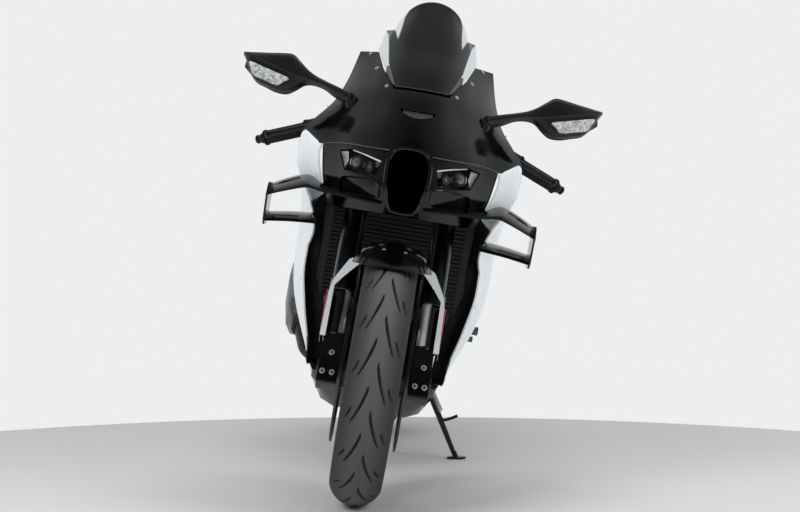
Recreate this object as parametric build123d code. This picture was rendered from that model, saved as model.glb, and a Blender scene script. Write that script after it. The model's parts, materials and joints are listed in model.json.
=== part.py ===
"""A faired sport bike with small wings at the nose, parked on its side stand.

The bike is drawn upright: X to the rider's left, Y to the rear, Z up, with the front axle over Y = 0
and the floor under upright wheels at Z = 0. Everything is then leaned onto the side stand and moved so
that the origin is on the floor under the middle of the whole bike. One STEP is written per sub-part.
"""

import os
from math import asin, atan2, cos, degrees, hypot, pi, radians, sin, tan

from build123d import *

# ---------------------------------------------------------------- driving dimensions, in mm and degrees
lean_angle = 9.6  # lean to the left when parked
rake_angle = 25.0  # steering head, from upright
trail = 105.0  # floor distance from the steering axis to the contact point
running_gap = 0.3  # between a turning part and its pin, or a seated piece and its seat
wall = 3.5  # moulded body panels

bead_radius = 216.0  # seat of a 17 inch rim
tyre_wall = 10.0
front_tyre_radius = 299.0
front_tyre_width = 120.0
front_crown_radius = 62.0
front_rim_width = 96.0  # over the flanges
rear_tyre_radius = 320.0
rear_tyre_width = 190.0
rear_crown_radius = 100.0
rear_rim_width = 160.0
spoke_pairs = 5

axle_radius = 12.5
front_hub_half = 66.0
rear_hub_half = 80.0
disc_thickness = 5.0
front_disc_radius = 165.0
front_disc_x = 73.0
rear_disc_radius = 110.0

fork_spacing = 210.0  # between the two legs
stanchion_radius = 21.5
outer_tube_radius = 27.0
lower_clamp_height = 440.0  # along the leg, from the axle
top_clamp_height = 615.0
fork_top_height = 672.0
bar_end_x = 372.0
bar_end_behind_clamp = 118.0
bar_end_drop = 88.0
grip_radius = 16.5
stem_hole_radius = 8.5  # takes the pin of a front paddock stand
stem_hole_depth = 34.0
spool_hole_radius = 4.0  # thread in the swingarm for a rear paddock stand's spool
spool_hole_depth = 20.0

pivot_y = 875.0  # swingarm pivot behind the front axle
pivot_z = 405.0
swingarm_length = 575.0  # pivot to rear axle, along the floor
chain_line_x = 118.0
chain_pitch = 15.875
front_sprocket_teeth = 17
rear_sprocket_teeth = 41
front_sprocket_y = 790.0
front_sprocket_z = 425.0

stand_pivot = (128.0, 800.0, 262.0)
stand_foot_x = 262.0  # foot on the floor, in the upright drawing
stand_foot_y = 780.0
stand_leg_radius = 9.0

lean = radians(lean_angle)
rake = radians(rake_angle)


def parked_axle_height(radius, crown):
    """Axle height in the upright drawing that puts a round tread on the floor once it leans."""
    return radius - crown + crown / cos(lean)


front_axle_z = parked_axle_height(front_tyre_radius, front_crown_radius)
rear_axle_z = parked_axle_height(rear_tyre_radius, rear_crown_radius)
rear_axle_y = pivot_y + swingarm_length
fork_x = fork_spacing / 2
steer_dir = Vector(0, sin(rake), cos(rake))
steer_foot = Vector(0, -trail, 0)
spar_top = 756.0  # top of the frame's spars beside the fuel tank's front feet
radiator_slots = 22  # gaps between the fins
spar_share = 0.7  # of the steering head's height that the spars take at their front
SHOCK_TOP = (838, 640)  # (y, z) of the shock absorber's upper bolt
SPOOL_HOLE = (rear_axle_y - 84, rear_axle_z + 2)  # (y, z) of the paddock stand's threaded holes
NODES = {}


# ---------------------------------------------------------------- shared ways of making shapes
def node(name, *shapes):
    """Keep the solids of these shapes as one sub-part."""
    solids = [s for shape in shapes for s in shape.solids()]
    NODES[name] = Compound(solids) if len(solids) > 1 else solids[0]


def fused(first, *others):
    """One shape from several that run into each other."""
    result = first
    for other in others:
        result = result + other
    return result


def mirrored(shape):
    """The same piece on the bike's other side."""
    return mirror(shape, Plane.YZ)


def both(shape):
    """A piece and its mirror image."""
    return [shape, mirrored(shape)]


def polygon(points):
    """A flat face through points in space."""
    return make_face(Polyline(*points, close=True))


def side_plate(outline, x0, x1, round_off=0):
    """A plate with a side view outline of (y, z) points, from x0 to x1."""
    face = polygon([(x0, y, z) for y, z in outline])
    if round_off:
        face = fillet(face.vertices(), round_off)
    return extrude(face, amount=x1 - x0, dir=(1, 0, 0))


def front_plate(outline, y0, y1, round_off=0):
    """A plate with a front view outline of (x, z) points, from y0 to y1."""
    face = polygon([(x, y0, z) for x, z in outline])
    if round_off:
        face = fillet(face.vertices(), round_off)
    return extrude(face, amount=y1 - y0, dir=(0, 1, 0))


def top_cut(outline, z0, z1):
    """A prism with a plan outline of (x, y) points, from z0 to z1."""
    return extrude(polygon([(x, y, z0) for x, y in outline]), amount=z1 - z0, dir=(0, 0, 1))


def rod(start, end, radius, end_radius=None):
    """A round bar between two points, tapered if it has an end radius."""
    start, end = Vector(start), Vector(end)
    plane = Plane(origin=start, z_dir=end - start)
    length = (end - start).length
    if end_radius is None:
        return plane * Cylinder(radius, length, align=(Align.CENTER, Align.CENTER, Align.MIN))
    return plane * Cone(radius, end_radius, length, align=(Align.CENTER, Align.CENTER, Align.MIN))


def pipe(points, radius, bend, bore=0):
    """A round tube along straight runs joined by arcs of one bend radius."""
    path = FilletPolyline(*points, radius=bend)
    start = Plane(origin=path @ 0, z_dir=path % 0)
    section = start * Circle(radius)
    if bore:
        section = section - start * Circle(bore)
    return sweep(section, path=path)


def spun(section, centre, turn=360.0, begin=0.0):
    """Spins an (x, radius) outline about an axle through (y, z); begin is measured from straight up,
    and positive angles go to the front."""
    face = polygon([(x, 0, r) for x, r in section])
    if begin:
        face = face.rotate(Axis.X, begin)
    solid = revolve(face, Axis.X, turn)
    return Pos(0, *centre) * solid


def offset_profile(points, distance):
    """The same run of (a, b) points, moved to the right of its direction by a distance."""
    moved = []
    for i, (a, b) in enumerate(points):
        before = points[max(i - 1, 0)]
        after = points[min(i + 1, len(points) - 1)]
        length = hypot(after[0] - before[0], after[1] - before[1])
        across = (after[1] - before[1]) / length, -(after[0] - before[0]) / length
        moved.append((a + across[0] * distance, b + across[1] * distance))
    return moved


def shell_along_y(stations, thickness):
    """A moulded wall lofted along Y. Each station is (y, [(x, z) from top to bottom])."""
    faces = []
    for y, profile in stations:
        inner = offset_profile(profile, thickness)
        faces.append(polygon([(x, y, z) for x, z in list(profile) + inner[::-1]]))
    return loft(faces, ruled=True)


def shell_along_z(stations, thickness, grow=0.0):
    """A moulded wall lofted along Z. Each station is (z, [(x, y) from the middle out to +X])."""
    faces = []
    for z, half in stations:
        outer = [(-x, y) for x, y in half[:0:-1]] + list(half)
        outer, inner = offset_profile(outer, grow), offset_profile(outer, -thickness - grow)
        faces.append(polygon([(x, y, z) for x, y in outer + inner[::-1]]))
    return loft(faces, ruled=True)


def body_along_y(stations):
    """A closed body lofted along Y. Each station is (y, [(x, z) half outline from top to bottom])."""
    faces = []
    for y, half in stations:
        other = [(-x, z) for x, z in half[::-1] if x > 0]
        faces.append(polygon([(x, y, z) for x, z in list(half) + other]))
    return loft(faces, ruled=True)


def up_the_fork(x, height, ahead=0.0):
    """A point at a height along the fork leg from the axle, and ahead of the leg's line."""
    return Vector(
        x,
        height * sin(rake) - ahead * cos(rake),
        front_axle_z + height * cos(rake) + ahead * sin(rake),
    )


# ---------------------------------------------------------------- wheels
def tyre(radius, width, crown, rim_width):
    """A hollow tyre: facets of a round tread, one of them set where the parked bike touches the floor."""
    shoulder = asin(width / 2 / crown)
    angles = [lean, 0.42 * shoulder, 0.70 * shoulder, shoulder]
    bead_half = rim_width / 2 - 6
    seat = bead_radius + running_gap
    half = [(crown * sin(a), radius - crown + crown * cos(a)) for a in angles]
    half += [(width / 2 - 4, (half[-1][1] + seat) / 2), (bead_half, bead_radius + 10.5), (bead_half, seat)]
    inner = [(crown * sin(a), radius - crown + crown * cos(a) - tyre_wall) for a in (lean, 0.7 * shoulder)]
    inner += [(width / 2 - tyre_wall, half[-3][1] + 4), (bead_half - tyre_wall, seat)]
    outline = half[::-1] + [(-x, r) for x, r in half]
    outline += [(-x, r) for x, r in inner[::-1]] + inner
    return outline


def rim_section(width):
    """Rim barrel with flanges, bead seats and a drop centre, in (x, radius)."""
    half = width / 2
    flange, lip, well = bead_radius + 9, 5.0, 20.0
    outer = [
        (half, flange), (half - lip, flange), (half - lip - 0.5, bead_radius),
        (half - 20, bead_radius - 2), (half - 32, bead_radius - well),
    ]
    inner = [(half, bead_radius - 7), (half - 22, bead_radius - 9), (half - 34, bead_radius - well - 6)]
    top = outer + [(-x, r) for x, r in outer[::-1]]
    bottom = [(-x, r) for x, r in inner] + inner[::-1]
    return top + bottom


def spoke_arm(inner, outer, inner_width, outer_width, thickness):
    """A tapered arm between two (radius, angle) points in the wheel's plane."""
    (r0, a0), (r1, a1) = inner, outer
    p = Vector(0, r0 * sin(a0), r0 * cos(a0))
    q = Vector(0, r1 * sin(a1), r1 * cos(a1))
    across = Vector(1, 0, 0).cross(q - p).normalized()
    corners = [
        p + across * inner_width / 2, q + across * outer_width / 2,
        q - across * outer_width / 2, p - across * inner_width / 2,
    ]
    return extrude(polygon([tuple(c) for c in corners]), amount=thickness / 2, dir=(1, 0, 0), both=True)


def cast_rim(rim_width, hub_half, hub_radius, thickness, centre):
    """A cast wheel: barrel, hub and pairs of splayed spokes."""
    wheel = spun(rim_section(rim_width), (0, 0))
    wheel += Rot(0, 90, 0) * Cylinder(hub_radius, 2 * hub_half)
    barrel = bead_radius - 24
    for i in range(spoke_pairs):
        middle = 2 * pi * i / spoke_pairs
        for side in (-1, 1):
            root = (hub_radius - 6, middle + side * radians(10))
            tip = (barrel, middle + side * radians(17))
            wheel += spoke_arm(root, tip, 24, 15, thickness)
    wheel -= Rot(0, 90, 0) * Cylinder(axle_radius + running_gap, 2 * hub_half + 2)
    return Pos(0, *centre) * wheel


def brake_disc(radius, inner_radius, mount_radius, hole_rings, holes):
    """A drilled disc on a six-armed carrier, its inboard face at X = 0."""
    disc = Rot(0, 90, 0) * (Cylinder(radius, disc_thickness) - Cylinder(inner_radius, disc_thickness))
    carrier = Cylinder(mount_radius + 12, disc_thickness) - Cylinder(mount_radius - 14, disc_thickness)
    carrier = Rot(0, 90, 0) * carrier
    for i in range(6):
        angle = pi / 3 * i
        root, tip = (mount_radius, angle), (inner_radius + 4, angle + radians(14))
        carrier += spoke_arm(root, tip, 22, 15, disc_thickness)
    disc += carrier
    for ring, hole_radius in enumerate(hole_rings):
        for i in range(holes):
            angle = 360.0 / holes * (i + ring / len(hole_rings))
            hole = Pos(0, 0, hole_radius) * (Rot(0, 90, 0) * Cylinder(4, 2 * disc_thickness))
            disc -= hole.rotate(Axis.X, angle)
    return Pos(disc_thickness / 2, 0, 0) * disc


def front_wheel():
    centre = (0, front_axle_z)
    section = tyre(front_tyre_radius, front_tyre_width, front_crown_radius, front_rim_width)
    node("front_tyre", spun(section, centre))
    node("front_rim", cast_rim(front_rim_width, front_hub_half, 34, 20, centre))
    disc = brake_disc(front_disc_radius, 126, 46, (136, 146, 156), 10)
    disc_face = front_disc_x - disc_thickness / 2
    # The carrier's boss carries the disc on the hub's end.
    boss = Rot(0, 90, 0) * (Cylinder(44, disc_face - front_hub_half + 10) - Cylinder(34 + running_gap, 60))
    boss = Pos((disc_face + front_hub_half - 10) / 2 + 0.5, 0, 0) * boss
    one = Pos(0, *centre) * (Pos(disc_face, 0, 0) * disc + boss)
    node("front_discs", *both(one))


def rear_wheel():
    centre = (rear_axle_y, rear_axle_z)
    section = tyre(rear_tyre_radius, rear_tyre_width, rear_crown_radius, rear_rim_width)
    node("rear_tyre", spun(section, centre))
    node("rear_rim", cast_rim(rear_rim_width, rear_hub_half, 48, 26, centre))
    disc = brake_disc(rear_disc_radius, 82, 60, (90, 101), 10)
    place = Pos(0, *centre)
    node("rear_disc", place * mirrored(Pos(rear_hub_half + running_gap, 0, 0) * disc))
    node("rear_sprocket", place * sprocket(rear_sprocket_teeth, 58, rear_hub_half + running_gap))


# ---------------------------------------------------------------- chain drive
def pitch_radius(teeth):
    return chain_pitch / 2 / sin(pi / teeth)


def sprocket(teeth, bore, hub_face):
    """A toothed wheel on the chain line, with a drum back to the hub's end face."""
    radius = pitch_radius(teeth)
    points = []
    for i in range(teeth):
        for share, r in ((-0.30, radius - 3.5), (-0.10, radius + 4.5), (0.10, radius + 4.5), (0.30, radius - 3.5)):
            a = 2 * pi * (i + share) / teeth
            points.append((chain_line_x - 3.5, r * sin(a), r * cos(a)))
    wheel = extrude(polygon(points), amount=7, dir=(1, 0, 0))
    drum = Rot(0, 90, 0) * (Cylinder(bore + 16, chain_line_x + 3.5 - hub_face) - Cylinder(bore, 100))
    drum = Pos((chain_line_x + 3.5 + hub_face) / 2, 0, 0) * drum
    opening = Rot(0, 90, 0) * Cylinder(bore, 60)
    wheel -= Pos(chain_line_x, 0, 0) * opening
    if teeth > 30:
        for i in range(6):
            window = Rot(0, 90, 0) * Cylinder((radius - bore - 32) / 2, 20)
            window = Pos(0, 0, (bore + 16 + radius - 6) / 2) * window
            wheel -= Pos(chain_line_x, 0, 0) * window.rotate(Axis.X, 60 * i + 30)
    return wheel + drum


def chain_path(clearance):
    """Points round both sprockets at the pitch line plus a clearance, as (y, z, heading)."""
    small, large = pitch_radius(front_sprocket_teeth) + clearance, pitch_radius(rear_sprocket_teeth) + clearance
    y0, z0, y1, z1 = front_sprocket_y, front_sprocket_z, rear_axle_y, rear_axle_z
    distance = hypot(y1 - y0, z1 - z0)
    tilt = atan2(z1 - z0, y1 - y0)
    spread = asin((large - small) / distance)
    top, low = tilt + pi / 2 + spread, tilt - pi / 2 - spread
    return (y0, z0, small, y1, z1, large, top, low)


def loop_face(x, clearance):
    """The outline that runs round both sprockets, at a clearance outside the pitch line."""
    y0, z0, small, y1, z1, large, top, low = chain_path(clearance)

    def at(y, z, r, a):
        return (x, y + r * cos(a), z + r * sin(a))

    upper = Line(at(y0, z0, small, top), at(y1, z1, large, top))
    rear = ThreePointArc(at(y1, z1, large, top), at(y1, z1, large, (top + low) / 2), at(y1, z1, large, low))
    lower = Line(at(y1, z1, large, low), at(y0, z0, small, low))
    front = ThreePointArc(
        at(y0, z0, small, low), at(y0, z0, small, (top + low) / 2 + pi), at(y0, z0, small, top)
    )
    return make_face(upper + rear + lower + front)


def chain():
    """The chain as one loop: a band of inner links with an outer plate pair at every second pitch."""
    inner_half, outer_half = 5.0, 8.5
    clear_of_teeth, link_height = 6.0, 6.0
    # The band stands just outside the tooth tips, so the sprocket turns freely inside it.
    band = extrude(loop_face(chain_line_x - inner_half, clear_of_teeth + link_height), 2 * inner_half, (1, 0, 0))
    band -= extrude(loop_face(chain_line_x - inner_half - 1, clear_of_teeth), 2 * inner_half + 2, (1, 0, 0))
    y0, z0, small, y1, z1, large, top, low = chain_path(clear_of_teeth + link_height / 2)
    straight = hypot(y1 - y0, z1 - z0) * cos(asin((large - small) / hypot(y1 - y0, z1 - z0)))
    plates = []

    def plate(y, z, heading):
        plates.append(Pos(chain_line_x, y, z) * (Rot(degrees(heading), 0, 0) * Box(2 * outer_half, 13, 8.5)))

    run = int(straight / (2 * chain_pitch))
    for i in range(run):
        t = (i + 0.5) / run
        for a in (top, low):
            y = (y0 + small * cos(a)) * (1 - t) + (y1 + large * cos(a)) * t
            z = (z0 + small * sin(a)) * (1 - t) + (z1 + large * sin(a)) * t
            plate(y, z, a - pi / 2)
    for cy, cz, r, first, last in ((y1, z1, large, low, top), (y0, z0, small, top, low + 2 * pi)):
        count = int(r * (last - first) / (2 * chain_pitch))
        for i in range(count):
            a = first + (last - first) * (i + 0.5) / count
            plate(cy + r * cos(a), cz + r * sin(a), a - pi / 2)
    node("chain", fused(band, *plates))


# ---------------------------------------------------------------- fork and steering
def fork_lug(grow=0.0):
    """The casting at the foot of the left leg, with a mast behind it for the caliper."""
    outline = [
        (-26, -46), (26, -46), (34, -20), (34, 60), (44, 120), (44, 168), (24, 168), (22, 84), (-24, 78), (-30, 20),
    ]
    face = polygon([tuple(up_the_fork(fork_x - 24 - grow, h, ahead=-a)) for a, h in outline])
    lug = extrude(fillet(face.vertices(), 5), amount=46 + 2 * grow, dir=(1, 0, 0))
    return offset(lug, grow, kind=Kind.INTERSECTION) if grow else lug


def fork():
    pinch = []
    for x in (-11, 11):
        pinch.append(rod(up_the_fork(fork_x + x, -24, ahead=22), up_the_fork(fork_x + x, -24, ahead=33), 6))
    stanchion = rod(up_the_fork(fork_x, 60), up_the_fork(fork_x, 330), stanchion_radius)
    leg = fused(fork_lug(), stanchion, *pinch)
    bottom, top = up_the_fork(fork_x, 186), up_the_fork(fork_x, fork_top_height)
    tube = rod(bottom, top, outer_tube_radius)
    tube += rod(bottom, up_the_fork(fork_x, 214), outer_tube_radius + 3)
    tube += rod(top, up_the_fork(fork_x, fork_top_height + 9), 17)
    tube -= rod(bottom, up_the_fork(fork_x, 340), stanchion_radius + running_gap)
    axle_place = Pos(0, 0, front_axle_z) * Rot(0, 90, 0)
    axle = axle_place * Cylinder(axle_radius, fork_spacing + 52)
    bore = axle_place * Cylinder(axle_radius + running_gap / 3, fork_spacing + 80)
    node("fork_legs", *both(leg - bore))
    node("fork_tubes", *both(tube))
    spacer = Pos(front_hub_half + 8, 0, 0) * (axle_place * Cylinder(19, 13))
    node("front_axle", fused(axle, spacer, mirrored(spacer)))


def clamp_plate(height, thickness, front_edge, rear_edge):
    """A triple clamp across both fork tubes and the steering stem."""
    centre = up_the_fork(0, height)
    plane = Plane(origin=centre, x_dir=(1, 0, 0), z_dir=tuple(steer_dir))
    reach = fork_x + outer_tube_radius + 9
    outline = [
        (-reach, -22), (-reach, 22), (-reach + 34, 34), (-34, rear_edge), (34, rear_edge),
        (reach - 34, 34), (reach, 22), (reach, -22), (reach - 36, -36), (0, front_edge), (-reach + 36, -36),
    ]
    outline = make_face(Polyline(*outline, close=True))
    plate = extrude(plane * fillet(outline.vertices(), 8), thickness / 2, both=True)
    for side in (-1, 1):
        low, high = up_the_fork(side * fork_x, height - 40), up_the_fork(side * fork_x, height + 40)
        hole = rod(low, high, outer_tube_radius + running_gap / 2)
        plate -= hole
    return plate


def steering_head_point(height):
    """A point of the steering axis at a height along it that matches the fork legs' heights."""
    foot = up_the_fork(0, height)
    to_axis = foot - steer_foot
    return steer_foot + steer_dir * to_axis.dot(steer_dir)


def clamps():
    low, high = clamp_plate(lower_clamp_height, 34, -30, 62), clamp_plate(top_clamp_height, 24, -26, 62)
    stem_foot = steering_head_point(lower_clamp_height - 17)
    stem = rod(stem_foot, steering_head_point(top_clamp_height + 26), 15)
    stand_hole = rod(stem_foot - steer_dir, stem_foot + steer_dir * stem_hole_depth, stem_hole_radius)
    node("triple_clamps", fused(low, stem, high) - stand_hole)


def bar_line():
    """Start and end of the left handlebar tube."""
    start = up_the_fork(fork_x + 26, top_clamp_height + 38)
    end = Vector(bar_end_x, start.Y + bar_end_behind_clamp, start.Z - bar_end_drop)
    return start, end


def on_bar(share):
    start, end = bar_line()
    return start + (end - start) * share


def handlebars():
    start, end = bar_line()
    clamp_low, clamp_high = up_the_fork(fork_x, top_clamp_height + 14), up_the_fork(fork_x, top_clamp_height + 50)
    ring = rod(clamp_low, clamp_high, outer_tube_radius + 9)
    ring += rod(start - (end - start) * 0.05, end, 11)
    fork_bore = up_the_fork(fork_x, top_clamp_height), up_the_fork(fork_x, top_clamp_height + 70)
    ring -= rod(*fork_bore, outer_tube_radius + running_gap / 2)
    ring += rod(end, on_bar(1.035), 13, 9)
    grip = rod(on_bar(0.54), on_bar(0.975), grip_radius) - rod(on_bar(0.5), on_bar(1.0), 11 + running_gap)
    flange = rod(on_bar(0.54), on_bar(0.565), grip_radius + 6) - rod(on_bar(0.5), on_bar(1.0), 11 + running_gap)
    node("grips", *both(grip + flange))
    pod_axis = end - start
    pod = Plane(origin=on_bar(0.44), z_dir=pod_axis, x_dir=(0, 1, 0)) * fillet(
        Box(46, 40, 40).edges().filter_by(Axis.Z), 9
    )
    pod -= rod(on_bar(0.2), on_bar(0.7), 11 + running_gap)
    node("clip_ons", *both(ring), *both(pod))
    perch = on_bar(0.29)
    ahead = Vector(0, -46, -6)
    body = rod(perch + ahead * 0.45, perch + ahead + Vector(6, 0, 0), 14)
    tip = on_bar(0.93) + Vector(0, -62, 2)
    middle = on_bar(0.5) + Vector(0, -70, 0)
    lever = fused(rod(perch + ahead, middle, 7, 6.5), rod(middle, tip, 6.5, 6))
    lever = fused(lever, Pos(*tip) * Sphere(9), Pos(*middle) * Sphere(6.5))
    band = rod(on_bar(0.25), on_bar(0.33), 18) - rod(on_bar(0.2), on_bar(0.4), 11 + running_gap)
    node("levers", *both(fused(band, body, lever)))


def calipers():
    """Radial calipers behind the legs, open where the disc turns."""
    gap = 5.5
    inner, outer = front_disc_x - 24, front_disc_x + 27
    section = [(inner, 112), (outer, 112), (outer, front_disc_radius + 21), (inner, front_disc_radius + 21)]
    body = spun(section, (0, front_axle_z), turn=-42, begin=-rake_angle - 22)
    body = fillet(body.edges().filter_by(GeomType.CIRCLE), 4)
    slot = [
        (front_disc_x - disc_thickness / 2 - gap, 90), (front_disc_x + disc_thickness / 2 + gap, 90),
        (front_disc_x + disc_thickness / 2 + gap, front_disc_radius + 7),
        (front_disc_x - disc_thickness / 2 - gap, front_disc_radius + 7),
    ]
    body -= spun(slot, (0, front_axle_z), turn=-80, begin=-rake_angle)
    ear = [(outer - 14, 120), (outer, 120), (outer, 172), (outer - 14, 172)]
    ear = spun(ear, (0, front_axle_z), turn=-12, begin=-rake_angle - 13)
    ear -= fork_lug(running_gap)
    node("front_calipers", *both(body + ear))


def fender():
    """Front mudguard inside the fork, with a blade in front of and outside each leg."""
    clear = front_tyre_radius + 7
    half = [(0, clear + wall), (34, clear - 1), (60, clear - 16), (74, clear - 42), (74, clear - 64)]
    inner = [(0, clear), (33, clear - wall - 1), (58, clear - wall - 16)]
    inner += [(74 - wall, clear - 43), (74 - wall, clear - 64)]
    outer = half[::-1] + [(-x, r) for x, r in half[1:]]
    back = [(-x, r) for x, r in inner[::-1]] + inner[1:]
    node("front_fender", spun(outer + back, (0, front_axle_z), turn=-112, begin=42))
    blade_x = fork_x + outer_tube_radius + 3.6
    front, rear = outer_tube_radius + 7, -(outer_tube_radius + 18)
    strip = [
        (blade_x - 12, 60), (blade_x + wall, 60), (blade_x + wall, 212), (118, 262), (88, 284),
        (74 + running_gap, 262), (74 + running_gap, 238), (104, 214), (blade_x - 12, 186),
    ]
    strip = polygon([tuple(up_the_fork(x, h, ahead=front)) for x, h in strip])
    strip = extrude(strip, amount=wall, dir=tuple(up_the_fork(0, 0, 1) - up_the_fork(0, 0)))
    side = [(60, front + wall), (212, front + wall), (196, 10), (172, rear), (112, rear + 8), (60, -6)]
    side = polygon([tuple(up_the_fork(blade_x, h, ahead=a)) for h, a in side])
    side = extrude(side, amount=wall, dir=(1, 0, 0))
    bracket = rod(up_the_fork(fork_x + 20.5, 120, -8), up_the_fork(blade_x + 1, 120, -8), 7)
    bracket -= rod(up_the_fork(fork_x, 60), up_the_fork(fork_x, 330), stanchion_radius + running_gap)
    node("fender_blades", *both(fused(strip, side, bracket)))
    strip = [(96, front - 12), (186, front - 12), (186, front + 2), (96, front + 2)]
    strip = polygon([tuple(up_the_fork(blade_x + wall + running_gap, h, ahead=a)) for h, a in strip])
    node("front_reflectors", *both(extrude(strip, amount=2.5, dir=(1, 0, 0))))


# ---------------------------------------------------------------- frame, engine and drive
def beam(stations):
    """A tapering box beam through (y, x, z, width, height) stations."""
    faces = []
    for y, x, z, w, h in stations:
        corners = [(-w, -h), (w, -h), (w, h), (-w, h)]
        faces.append(polygon([(x + a / 2, y, z + b / 2) for a, b in corners]))
    return loft(faces, ruled=True)


def frame():
    """Twin spars from the steering head to the pivot plates, with the seat rails behind."""
    low, high = steering_head_point(lower_clamp_height + 18), steering_head_point(top_clamp_height - 13)
    middle = (low.Z + high.Z) / 2
    tall = spar_share * (high.Z - low.Z)
    bore = rod(steering_head_point(300), steering_head_point(760), 15.1)
    spar = beam([
        (high.Y - 16, 16, middle - 3, 40, tall), (high.Y + 4, 44, middle - 3, 34, tall),
        (high.Y + 60, 82, middle - 21, 34, tall), (480, 140, spar_top - 50, 30, 100),
        (640, 158, 640, 28, 104), (784, 156, 545, 26, 116),
    ])
    plate = [(760, 600), (812, 596), (900, 470), (925, 380), (905, 318), (845, 318), (800, 420), (752, 492)]
    plate = side_plate(plate, 143, 169, 8)
    rail = beam([(706, 128, 691, 26, 34), (800, 112, 742, 24, 34), (1150, 80, 800, 22, 36), (1480, 28, 872, 18, 30)])
    strut = rod((150, 806, 556), (66, 1130, 780), 10)
    joint = rod((156, 726, 600), (126, 726, 706), 15)
    ear = side_plate([(784, 575), (800, 558), (816, 566), (854, 636), (846, 658), (824, 652)], 18, 27, 4)
    cross = fused(rod((-150, 800, 576), (150, 800, 576), 14), rod((-30, 1450, 868), (30, 1450, 868), 10))
    cross = fused(cross, rod((-124, 760, 722), (124, 760, 722), 11))
    half = fused(spar, plate, rail, strut, joint, ear)
    whole = fused(rod(low, high, 31), half, mirrored(half), cross) - bore
    whole -= rod((-200, pivot_y, pivot_z), (200, pivot_y, pivot_z), 10)
    node("frame", whole - rod((-40, *SHOCK_TOP), (40, *SHOCK_TOP), 8.1))


def engine_barrel(gap=0.0):
    """The cylinders and their head, leaning forward; a gap moves the front face ahead for a seat."""
    outline = [(530 - gap, 400), (700, 480), (690, 640), (560, 700), (470 - gap, 570)]
    return side_plate(outline, -118, 118, 0 if gap else 10)


def engine():
    """Crankcase, forward-leaning cylinders and head as one block, hung between the spars."""
    case = [(575, 236), (770, 228), (842, 300), (832, 470), (700, 500), (530, 420), (524, 320)]
    case = side_plate(case, -104, 104, 12)
    barrel = engine_barrel()
    covers = [rod((-136, 600, 335), (136, 600, 335), 82), rod((-128, 730, 350), (100, 730, 350), 70)]
    hanger = rod((-143, 650, 600), (143, 650, 600), 12)
    centre = (front_sprocket_y, front_sprocket_z)
    shaft = rod((100, *centre), (chain_line_x + 8, *centre), 11.7)
    sprocket_place = Pos(0, *centre)
    small = sprocket_place * sprocket(front_sprocket_teeth, 12, chain_line_x - 14)
    node("engine", fused(case, barrel, *covers, hanger, shaft), small)


def radiator():
    core = side_plate([(384, 448), (414, 440), (372, 668), (342, 672)], -166, 166)
    for i in range(radiator_slots):
        share = (i + 0.5) / radiator_slots
        y, z = 384 - 42 * share, 448 + 224 * share
        core -= side_plate([(y - 3, z - 2.5), (y + 5, z - 4), (y + 5, z + 1), (y - 3, z + 2.5)], -164, 164)
    tanks = [side_plate([(380, 444), (418, 436), (374, 676), (336, 680)], x, x + 20, 5) for x in (-186, 166)]
    fan = rod((-70, 388, 560), (-70, 414, 567), 62)
    stays = [rod((x, 375, 620), (x, 540, 620), 7) - engine_barrel(running_gap) for x in (-60, 60)]
    node("radiator", fused(core, *tanks, fan, *stays))


def swingarm():
    """A pivot tube and two arms that splay round the tyre and end in axle blocks."""
    tube = rod((-96, pivot_y, pivot_z), (96, pivot_y, pivot_z), 30)
    drop = (rear_axle_z - pivot_z) / swingarm_length
    arm = beam([
        (pivot_y + 12, 76, pivot_z + 12 * drop, 36, 56), (pivot_y + 95, 88, pivot_z + 95 * drop, 38, 70),
        (pivot_y + 245, 147, pivot_z + 245 * drop, 32, 74), (rear_axle_y - 60, 148, rear_axle_z - 60 * drop, 28, 58),
        (rear_axle_y + 62, 148, rear_axle_z, 26, 46),
    ])
    bridge = beam([(pivot_y + 20, 0, pivot_z + 2, 190, 56), (pivot_y + 78, 0, pivot_z - 8, 190, 66)])
    centre = (rear_axle_y, rear_axle_z)
    axle_bore = rod((-200, *centre), (200, *centre), axle_radius + running_gap / 3)
    inside = rod((-100, pivot_y, pivot_z), (100, pivot_y, pivot_z), 10 + running_gap / 3)
    whole = fused(tube, arm, mirrored(arm), bridge) - inside
    whole -= axle_bore
    for side in (-1, 1):
        floor = side * (161.5 - spool_hole_depth)
        whole -= rod((side * 170, *SPOOL_HOLE), (floor, *SPOOL_HOLE), spool_hole_radius)
    node("swingarm", whole)
    bolt = rod((-171.6, pivot_y, pivot_z), (171.6, pivot_y, pivot_z), 9.9)
    axle = rod((-168, *centre), (168, *centre), axle_radius)
    nuts = [rod((x, *centre), (x + 12, *centre), 20) for x in (-174, 162)]
    spacers = [rod((x, *centre), (x + 46, *centre), 19) for x in (-133, 87)]
    node("axle_and_pivot_bolt", fused(axle, *nuts, *spacers), bolt)


def rear_brake():
    x = -(rear_hub_half + running_gap + disc_thickness / 2)
    inner, outer = x - 27, x + 22
    centre = (rear_axle_y, rear_axle_z)
    body = spun([(inner, 76), (outer, 76), (outer, 126), (inner, 126)], centre, turn=-38, begin=95)
    slot = [(x - 8, 60), (x + 8, 60), (x + 8, 117), (x - 8, 117)]
    body -= spun(slot, centre, turn=-70, begin=110)
    link = rod((x - 18, rear_axle_y - 108, rear_axle_z + 52), (-131, rear_axle_y - 108, rear_axle_z + 40), 8)
    node("rear_caliper", fused(body, link))


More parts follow.
